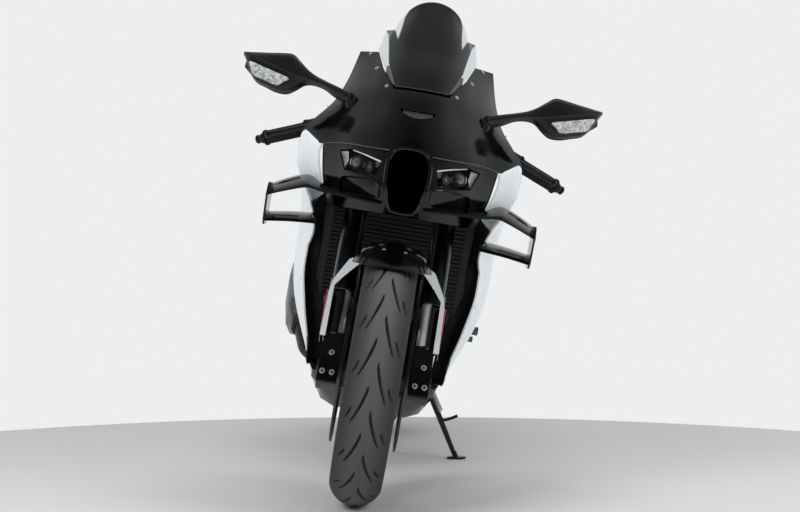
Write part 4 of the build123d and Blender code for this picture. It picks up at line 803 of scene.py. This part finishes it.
# The duct between the lamps is egg shaped: a raised gloss black lip around a matt black throat, whose
# floor turns up ahead of the steering head. The throat is black plastic, given no reflection as painted
# shade.
duct_painted_shade = finish_of("black duct, painted shade", "#030303", 1.0, Specular_IOR_Level=0.0)
lip_loop = looped(mirrored(duct_outline), 72)
cowl_foot, throat_end = 800.0, 108.0  # mm: the cowl's height over the chin; the throat's way behind the axle
lip_face = np.where(lip_loop[:, 1:] < cowl_foot, on_skin(chin_grid, lip_loop), on_skin(cowl_grid, lip_loop))
duct_middle = np.array([0.0, 742.0])
away = lip_loop - duct_middle
away /= np.linalg.norm(away, axis=1)[:, None]


def duct_rings(steps):
    """Rings of the duct's outline, each widened by mm and set behind the nose's skin by mm."""
    rings = []
    for wider, deeper in steps:
        flat = lip_loop + away * wider
        if wider < -40:  # past the middle: the throat's end closes there
            flat = np.broadcast_to(duct_middle, flat.shape)
        rings.append(np.stack([flat[:, 0], np.minimum(lip_face[:, 1] + deeper, throat_end), flat[:, 1]], -1))
    return np.array(rings)


lip_steps = ((6.5, 12), (7, 1), (6.5, -3), (4.5, -6), (2, -6.5), (-1, -5), (-2.5, 0), (-3, 12))
for name, steps, material in (
    ("duct_lip", lip_steps, gloss_black),
    ("duct_throat", ((-3, 8), (-3.5, 30), (-4, 90), (-5, 160), (-24, 175), (-70, 180)), duct_painted_shade),
):
    ring = sheet(name, duct_rings(steps), material, (False, True))
    fitted(finished(walled(ring, 1.5)), "chassis", "ram_intake")

# ---------------------------------------------------------------- winglets
# Two slats and an end plate a side, gloss black ABS. The slats rise to the rear, so their upper faces
# show from the front and mirror the room.
upper_slat = (  # from the middle outward: x, leading edge y and z, chord, trailing edge's rise, thickness
    (50, -52, 682, 60, 8, 12), (120, -24, 686, 80, 12, 13), (182, 0, 689, 96, 20, 13),
    (218, 16, 693, 104, 34, 13), (236, 21, 690, 102, 36, 13), (276, 33, 676, 98, 34, 12),
    (314, 46, 661, 92, 30, 11),
)
lower_slat = ((192, 56, 616, 84, 24, 12), (250, 63, 611, 80, 24, 11), (308, 70, 603, 76, 23, 10))
slat_section = np.array((
    (0, 0), (0.02, 0.2), (0.07, 0.36), (0.18, 0.5), (0.4, 0.6), (0.7, 0.42), (0.97, 0.12), (1, 0.06),
    (1, -0.02), (0.96, -0.04), (0.7, -0.14), (0.4, -0.24), (0.15, -0.28), (0.04, -0.2), (0.005, -0.08),
))
end_plate = (
    (40, 668), (50, 684), (62, 692), (138, 694), (146, 686), (154, 640), (146, 604), (132, 596), (78, 594),
    (62, 604), (52, 630),
)
slat_slot = np.array([(262, 74), (266, 70), (294, 80), (297, 86), (292, 90), (266, 82)])  # seen from above


def slat(name, stations, side):
    """A slat as rings of one wing section: y + a chord, z + a rise + b thickness at each station's x."""
    x, y, z, chord, rise, thick = through(np.array(stations, dtype=float), 40).T[..., None]
    a, b = slat_section.T
    rings = np.stack([side * x + 0 * a, y + a * chord, z + a * rise + b * thick], -1)
    return closed(name, with_ends(rings), gloss_black, 50)


for side, word in each_side:
    upper = slat(f"upper_slat_{word}", upper_slat, side)
    carve(upper, slat_slot * [side, 1], 2, 600, 760)
    fitted(upper, "chassis", "winglets")
    fitted(slat(f"lower_slat_{word}", lower_slat, side), "chassis", "winglets")
    outer = np.array([(side * x, y, z) for x in (308, 308, 313, 313) for y, z in end_plate]).reshape(4, -1, 3)
    outer[0], outer[3] = outer[1].mean(0), outer[2].mean(0)
    plate = closed(f"end_plate_{word}", outer, gloss_black, 30)
    fitted(eased(plate, 1.2), "chassis", "winglets")

# ---------------------------------------------------------------- mirrors
# Black nylon housings that taper into folding stalks, one moulding, over a rubber boot on the cowl; a
# clear indicator with a silvered dish is let into the front of each.
mirror_black = speckled("black nylon", "#0f0f10", 0.4, 0.05, 1800.0)
mirror_table = (  # distance from the middle, then top, crease and bottom height, front and back, in mm
    (150, 924, 912, 898, 84, 108), (172, 931, 919, 903, 92, 116), (198, 939, 929, 912, 99, 124),
    (224, 947, 938, 926, 104, 132), (250, 956, 944, 932, 108, 138), (272, 968, 947, 930, 111, 144),
    (292, 982, 950, 917, 109, 147), (312, 994, 954, 907, 106, 148), (338, 993, 960, 907, 105, 148),
    (364, 990, 966, 914, 106, 148), (386, 988, 971, 921, 107, 148), (402, 987, 976, 936, 110, 148),
    (412, 986, 979, 954, 115, 148), (420, 985, 981, 968, 122, 148), (426, 983, 981, 978, 132, 147),
)
mirror_rows = np.array([
    [
        (x, back, top - 3), (x, back - 9, top), (x, (front + back) / 2 - 4, top - 0.15 * (top - crease)),
        (x, front, crease + 2), (x, front + 1, crease - 4), (x, (front * 3 + back) / 4, bottom + 5),
        (x, back - 9, bottom), (x, back, bottom + 3),
    ]
    for x, top, crease, bottom, front, back in mirror_table
])
mirror_grid = through(looped(mirror_rows, 64, axis=1), 90)
front_side = mirror_grid[:, 12:44]
lens_outline = (
    (310, 938), (342, 947), (376, 956), (408, 963), (404, 948), (394, 932), (366, 924), (336, 917),
    (322, 927),
)
lens_face = ((share, -2.0) for share in (0.8, 0.65, 0.5, 0.35, 0.2, 0.0))
lens_steps = ((1.0, 2.0), (1.0, -1.0), (0.95, -1.8), *lens_face)
# Painted reflection: the silvered facets' glints are light and mid grey base colours, one Voronoi cell each,
# under a clear coat.
silvered = finish_of("clear lens over silvered facets, painted glints", "#d9dbda", 0.3, Coat_Weight=1.0, Coat_Roughness=0.03)
place = {"Vector": add_node(silvered, "ShaderNodeTexCoord").outputs["Object"]}
glint_cells = add_node(silvered, "ShaderNodeTexVoronoi", place, Scale=240.0)  # facets 4 mm wide
facets = add_node(silvered, "ShaderNodeSeparateColor", {"Color": glint_cells.outputs["Color"]})
feed(silvered, Base_Color=two_tones(silvered, facets.outputs["Red"], "#85888a", "#d9dbda"))
for side, word in each_side:
    housing = closed(f"mirror_housing_{word}", with_ends(mirror_grid) * [side, 1, 1], mirror_black, 34)
    fitted(housing, "chassis", "mirrors")
    loop = looped(lens_outline, 60)
    middle = loop.mean(axis=0)
    rings = [on_skin(front_side, middle + (loop - middle) * share, depth) for share, depth in lens_steps]
    lens = closed(f"indicator_lens_{word}", np.array(rings) * [side, 1, 1], silvered)
    fitted(lens, "chassis", "mirror_lamps")
    rim = on_skin(front_side, np.concatenate([loop, loop[:1]]), -0.4)
    fitted(tube(f"indicator_rim_{word}", rim * [side, 1, 1], 1.1, mirror_black), "chassis", "mirror_lamps")
    boot = [(-8, 0), (-7, 15), (-2, 21), (5, 22), (12, 17), (15, 17.5), (17, 14), (17, 0)]
    spot, out = (side * 150, 95, 898), (side * -0.5, -0.72, 0.5)
    fitted(turned(f"mirror_boot_{word}", spot, out, boot, grained_plastic, 40), "chassis", "mirrors")
    spot, out = (side * 137, 80, 903), (side * -0.4, -0.85, 0.3)
    socket_screw(f"mirror_screw_{word}", spot, out, 5.0, zinc_and_painted_sheen, "chassis")
    socket_screw(f"mirror_pivot_{word}", (side * 160, 88, 922), (0, -0.6, 0.8), 6.0, mirror_black, "chassis")

broken_edges("mirror_glass", chrome, 0.3)

# ---------------------------------------------------------------- fender
# The front mudguard is one gloss black arch, pressed by 2 mm walls, inside white blades that shield
# the fork legs and carry red reflectors.
lip_height = 247.0  # mm above the axle, where the arch ends in front in one straight lip
half = bezier([(74, 244), (77, 290), (52, 306), (0, 309)], 30)
cross = np.concatenate([half, (half * [-1, 1])[-2::-1]])
radius_of = cross[None, :, 1]
first_angle = np.arccos(np.clip(lip_height / radius_of, -1, 1))
lean_back = first_angle + (math.radians(-70) - first_angle) * np.linspace(0, 1, 70)[:, None]
flare = 1.0 + 0.2 * np.clip((lean_back + math.radians(4)) / math.radians(22), 0, 1) ** 2
behind_axle, above_axle = -radius_of * np.sin(lean_back), radius_of * np.cos(lean_back)
arch = np.stack([cross[None, :, 0] * flare, front_axle[0] + behind_axle, front_axle[1] + above_axle], -1)
fender_made = finished(walled(sheet("fender_arch", arch, gloss_black), 3.0, -1.0))
fitted(eased(fender_made, 1.0), "steering", "front_fender")
fitted(tube("fender_lip", arch[0], 1.2, gloss_black), "steering")
screw_angle, screw_radius = math.radians(22.0), 305.0  # ahead of the top; mm from the axle
spoke = np.array([0, -math.sin(screw_angle), math.cos(screw_angle)])
for side, word in each_side:
    spot = np.array([24.0 * side, 0, front_axle[1]]) + screw_radius * spoke
    socket_screw(f"fender_screw_{word}", spot, spoke + [0.2 * side, 0, 0], 3.6, zinc_and_painted_sheen, "steering")

# The blades: white painted mouldings, folded where they turn down beside the fork; red reflex lenses
# are bonded to their outer edges.
blades = broken_edges("fender_blades", gloss_white, 1.0)
blades.modifiers.clear()
inner_waste = ((50, 538), (76, 540), (98, 516), (118, 482), (120, 460), (122, 340), (50, 330))
outer_waste = (
    (50, 610), (50, 560), (84, 557), (101, 547), (129, 496), (134, 470), (137, 340), (170, 340), (170, 610),
)
for side, _ in each_side:
    for waste in (inner_waste, outer_waste):
        carve(blades, np.array(waste) * [side, 1], 1, -100, 200)
eased(blades, 1.0)
reflex_red = speckled("red reflex lens", "#a81c1c", 0.15, 0.3, 1200.0, Coat_Weight=1.0)
for side, word in each_side:
    rings = []
    for z, inner, outer in ((369, 127, 137), (420, 126, 138), (471, 126, 138)):
        front = (z - 352) * math.tan(rake) - 11.0  # the lens leans back with the fork
        corners = ((inner, front), (outer, front + 1), (outer, front + 26), (inner, front + 26))
        rings.append([(side * x, y, z) for x, y in corners])
    lens = closed(f"front_reflector_{word}", with_ends(np.array(rings)), reflex_red, 30)
    fitted(eased(lens, 1.2), "steering", "front_reflectors")

# ---------------------------------------------------------------- tank
# Pressed steel, seam welded under its skirt and painted the pearl white of the panels; a flush filler
# cap of anodised aluminium sits in a ring of small screws.
tank_rows = (  # distance behind the axle, then (x, z) from the middle of the top down to the skirt
    (352, ((0, 890), (44, 884), (64, 856), (77, 822), (80, 800))),
    (400, ((0, 928), (66, 920), (98, 886), (120, 836), (112, 790))),
    (480, ((0, 951), (86, 941), (142, 905), (163, 840), (130, 772))),
    (600, ((0, 946), (90, 936), (156, 895), (172, 835), (134, 765))),
    (700, ((0, 912), (80, 903), (136, 868), (150, 820), (122, 760))),
    (800, ((0, 862), (60, 856), (96, 836), (106, 800), (92, 766))),
)
tank_grid = smooth_grid(both_halves(rows_of(tank_rows, 1)), 90, 64)
tank = closed("tank_shell", with_ends(tank_grid), gloss_white, 50)
fitted(eased(tank, 5.0), "chassis", "fuel_tank")
cap_ring = [(-6, 0), (-6, 38), (3, 38), (4.5, 36), (4.5, 29), (3, 28), (6, 26), (7, 22), (7, 0)]
fitted(turned("filler_cap", (0, 520, 950), (0, 0, 1), cap_ring, anodised, 64), "chassis", "fuel_tank")
for number, angle in enumerate(np.radians(np.arange(0, 360, 60))):
    spot = (33 * math.sin(angle), 520 + 33 * math.cos(angle), 954.6)
    socket_screw(f"cap_screw_{number}", spot, (0, 0, 1), 2.6, zinc_and_painted_sheen, "chassis")

# ---------------------------------------------------------------- tail and belly
# The tail unit: thin painted mouldings, a low deck under the rider's seat and a hollow cowl that ends
# in a point, with a bulkhead between them. The belly pan is black.
deck_rows = (
    (1010, ((0, 790), (112, 788), (137, 776), (130, 748), (100, 743))),
    (1127, ((0, 792), (98, 790), (115, 784), (116, 768), (94, 757))),
)
tail_rows = (
    (1129, ((0, 890), (88, 886), (111, 859), (115, 790), (92, 763))),
    (1300, ((0, 921), (74, 917), (97, 892), (99, 830), (72, 801))),
    (1500, ((0, 949), (44, 945), (65, 922), (65, 888), (42, 865))),
    (1608, ((0, 960), (22, 956), (35, 940), (33, 926), (20, 915))),
)
for name, rows, count in (("tail_deck", deck_rows, 12), ("tail_cowl", tail_rows, 60)):
    moulding = panel(name, both_halves(rows_of(rows, 1)), gloss_white, 3.0, (count, 80))
    fitted(eased(moulding), "chassis", "tail_fairing")
front_end, rear_end = smooth_grid(both_halves(rows_of(tail_rows, 1)), 60, 80)[[0, -1]]
deck_top = 791.0  # mm, where the bulkhead meets the deck
lowered = front_end * [1, 1, 0] + [0, 0, 1] * np.minimum(front_end[:, 2:], deck_top)
for name, rows in (
    ("tail_bulkhead", np.stack([front_end, lowered])),
    ("tail_end", np.stack([rear_end, np.broadcast_to(rear_end.mean(0), rear_end.shape)])),
):
    plate = sheet(name, rows, gloss_white)
    merged(plate.data)
    fitted(walled(plate, 2.0), "chassis", "tail_fairing")
broken_edges("belly_pan", gloss_black, 1.0)
broken_edges("tail_light", reflex_red, 0.5)

# ---------------------------------------------------------------- grips
# Moulded rubber sleeves, ribbed around, glued on the bars, and turned steel weights that end them.
grip_rubber = speckled("grip rubber", "#101010", 0.7, 0.3, 900.0)
bar_start, bar_stop = np.array([131.0, 275.97, 891.7]), np.array([372.0, 393.97, 803.7])
grip_start, grip_length = bar_start + 0.54 * (bar_stop - bar_start), 122.5
rib_at = np.linspace(9.0, 115.0, 240)
ribs = np.stack([rib_at, 16.2 + 1.1 * np.clip(1.6 * np.sin(2 * math.pi * rib_at / 6.6), -0.6, 1.0)], -1)
sleeve = [
    (0, 11.4), (0, 21), (1.5, 22.5), (5, 22.5), (7, 17), *ribs.tolist(), (117, 17), (118, 19.5),
    (grip_length, 19.5), (grip_length, 11.4), (0, 11.4),
]
weight = [
    (-6, 0), (-6, 12.5), (3, 12.5), (5, 9), (8, 8.5), (11, 10.5), (14, 11.2), (17, 10.5), (19, 8), (20, 0),
]
for side, word in each_side:
    flip = np.array([side, 1, 1])
    axis = (bar_stop - bar_start) * flip
    fitted(turned(f"grip_{word}", grip_start * flip, axis, sleeve, grip_rubber, 40), "steering", "grips")
    fitted(turned(f"bar_weight_{word}", bar_stop * flip, axis, weight, anodised, 32), "steering")

# ---------------------------------------------------------------- seats
# Foam under grained vinyl: a top sheet and a side strip, sewn together along a piped seam and stapled
# to a plastic base. Pressure swells each cover, which is flat only on its base; the seams come after.
vinyl = speckled("grained vinyl", "#141414", 0.6, 0.2, 1400.0)
rider_rows = (  # distance behind the axle, then (x, z) from the middle of the top to the middle of the base
    (812, ((0, 851), (54, 846), (84, 832), (90, 804), (50, 803), (0, 803))),
    (880, ((0, 832), (84, 826), (115, 813), (119, 799), (70, 798), (0, 798))),
    (1000, ((0, 828), (103, 824), (135, 810), (137, 799), (80, 798), (0, 798))),
    (1088, ((0, 842), (98, 838), (125, 824), (127, 814), (70, 813), (0, 813))),
    (1118, ((0, 864), (78, 859), (104, 845), (107, 822), (60, 820), (0, 820))),
)
pillion_rows = (
    (1146, ((0, 930), (58, 925), (78, 914), (81, 900), (40, 898), (0, 898))),
    (1240, ((0, 944), (70, 939), (89, 928), (82, 916), (40, 915), (0, 915))),
    (1384, ((0, 956), (48, 951), (62, 945), (57, 938), (30, 937), (0, 937))),
)
voxel = 0.005  # m, the even mesh that the cover is simulated on
most_swell = 0.007  # m that a point of the cover may move
base_band = 4.0  # mm above the base that is stapled down


def coordinates(mesh):
    """A mesh's points as an array."""
    flat = np.empty(len(mesh.vertices) * 3)
    mesh.vertices.foreach_get("co", flat)
    return flat.reshape(-1, 3)


def upright_of(points):
    """Points in metres, moved back to the upright drawing in mm: the reverse of parked()."""
    return (points - axle_place) * 1000.0 @ np.stack([across, rearward, upward], 1) + [0, 0, front_axle[1]]


def swollen(made, rows):
    """Blows up a cover by cloth pressure over its pinned base; no point moves more than most_swell."""
    start = coordinates(made.data)
    upright = upright_of(start)
    base = np.interp(upright[:, 1], [y for y, _ in rows], [outline[-1][1] for _, outline in rows])
    held = made.vertex_groups.new(name="base")
    held.add(np.flatnonzero(upright[:, 2] < base + base_band).tolist(), 1.0, "REPLACE")
    cover = made.modifiers.new("cover", "CLOTH")
    cover.settings.vertex_group_mass = "base"
    cover.settings.use_pressure, cover.settings.uniform_pressure_force = True, 4.0
    cover.settings.effector_weights.gravity = 0.0
    for step in range(1, 21):
        bpy.context.scene.frame_set(step)
    graph = bpy.context.evaluated_depsgraph_get()
    move = coordinates(made.evaluated_get(graph).data) - start
    length = np.linalg.norm(move, axis=1)[:, None] + 1e-9
    made.modifiers.clear()
    made.vertex_groups.clear()
    made.data.vertices.foreach_set("co", (start + move * np.minimum(1.0, most_swell / length)).ravel())
    made.data.update()
    bpy.context.scene.frame_set(1)


for seat, rows in (("rider", rider_rows), ("pillion", pillion_rows)):
    name = f"{seat}_pad"
    form = smooth_grid(both_halves(rows_of(rows, 1)), 60, 80)
    pad = closed(name, with_ends(form), vinyl)
    even = pad.modifiers.new("even", "REMESH")
    even.mode, even.voxel_size = "VOXEL", voxel
    finished(pad)
    pad.data.set_sharp_from_angle(angle=math.pi)
    pad.data.shade_smooth()
    pad.data.materials.clear()
    pad.data.materials.append(vinyl)
    swollen(pad, rows)
    softer = pad.modifiers.new("softer", "SUBSURF")
    softer.levels = softer.render_levels = 1
    fitted(pad, "chassis", f"{seat}_seat")
    bpy.context.view_layer.update()
    # The piped seam follows the pad's shoulder: each point of the line is laid on the swollen cover.
    shoulder = through(rows_of(rows, 1)[:, 2], 60)
    line = np.concatenate([shoulder, shoulder[::-1] * [-1, 1, 1]])
    line = parked(looped(line, 240)) + 0.012 * upward
    laid = np.array([tuple(pad.closest_point_on_mesh(p.tolist())[1]) for p in line])
    seam = upright_of(laid)
    for _ in range(3):
        seam = (np.roll(seam, 1, 0) + 2 * seam + np.roll(seam, -1, 0)) / 4
    fitted(tube(f"{name}_piping", np.concatenate([seam, seam[:1]]), 1.5, grained_plastic, 8), "chassis")

# ---------------------------------------------------------------- studio
# A round pale floor of matt stone, such as a showroom's turntable, in a white room with three area
# lamps, and a camera low ahead of the bike that looks slightly down.
floor_radius = 2.12
floor_middle = (-0.05, -1.02)
turn = full_turn(180)
floor_mesh = bpy.data.meshes.new("floor")
rim = floor_radius * np.stack([np.cos(turn), np.sin(turn), 0 * turn], -1) + [*floor_middle, 0.0]
floor_mesh.from_pydata(rim.tolist(), [], [range(len(rim))])
floor = bpy.data.objects.new("floor", floor_mesh)
bpy.context.collection.objects.link(floor)
floor_mesh.materials.append(finish_of("matt stone floor", "#c2c3c3", 0.6))

# The room: white to the camera; otherwise dim ahead of the bike and overhead and bright at its sides
# and behind it, as in a studio with lit walls, so that gloss black stays dark and its edges shine.
world = bpy.data.worlds.new("studio")
world.use_nodes = True
world.node_tree.nodes.clear()
direction = add_node(world, "ShaderNodeTexCoord")
parts = add_node(world, "ShaderNodeSeparateXYZ", {"Vector": direction.outputs["Generated"]})
room = add_node(world, "ShaderNodeMath", settings={"operation": "MULTIPLY"})
ramps = (("Y", -0.8, 0.2, 0.08, 0.85), ("Z", 0.25, 0.9, 1.0, 0.35))
for slot, (way, start, end, first, last) in enumerate(ramps):
    spread = {"From_Min": start, "From_Max": end, "To_Min": first, "To_Max": last}
    ramp = add_node(world, "ShaderNodeMapRange", {"Value": parts.outputs[way]}, **spread)
    world.node_tree.links.new(ramp.outputs["Result"], room.inputs[slot])
seen = add_node(world, "ShaderNodeLightPath")
chosen = {"Factor": seen.outputs["Is Camera Ray"], "A": room.outputs["Value"]}
strength = add_node(world, "ShaderNodeMix", chosen, B=0.93)
brightness = {"Strength": strength.outputs["Result"]}
light = add_node(world, "ShaderNodeBackground", brightness, Color=linear("#f4f6f8"))
add_node(world, "ShaderNodeOutputWorld", {"Surface": light.outputs["Background"]})
bpy.context.scene.world = world

for name, place, turn, size, watts in (
    ("key lamp", (-2.5, -3.0, 3.0), (50, 0, -40), 2.0, 130),
    ("fill lamp", (2.8, -2.6, 2.4), (56, 0, 48), 2.0, 100),
    ("top lamp", (0.0, 0.5, 3.5), (0, 0, 0), 3.0, 60),
):
    lamp = bpy.data.lights.new(name, "AREA")
    lamp.size = size
    lamp.energy = watts
    lamp_object = bpy.data.objects.new(name, lamp)
    lamp_object.location = place
    lamp_object.rotation_euler = [math.radians(a) for a in turn]
    lamp_object.visible_glossy = False
    bpy.context.collection.objects.link(lamp_object)

camera_ahead = 3.73  # m in front of the front axle
camera_left = 0.0985  # m towards the bike's left of the front wheel's contact point
camera_height = 0.605
picture_width, focal_length, horizon = 800, 1648, 18  # pixels; the horizon is above the middle row
camera_pitch = math.degrees(math.atan(horizon / focal_length))
tread_middle = 0.237  # m from the axle to the middle of the tread's arc, which stands over the contact
contact_x = axle_place[0] - tread_middle * math.sin(math.acos(upward[2]))
camera = bpy.data.objects.new("camera", bpy.data.cameras.new("camera"))
camera.data.sensor_width = 36.0
camera.data.lens = camera.data.sensor_width * focal_length / picture_width
camera.location = (contact_x + camera_left, axle_place[1] - camera_ahead, camera_height)
camera.rotation_euler = (math.radians(90.0 - camera_pitch), 0.0, 0.0)
bpy.context.collection.objects.link(camera)
bpy.context.scene.camera = camera
bpy.context.scene.view_settings.view_transform = "Standard"
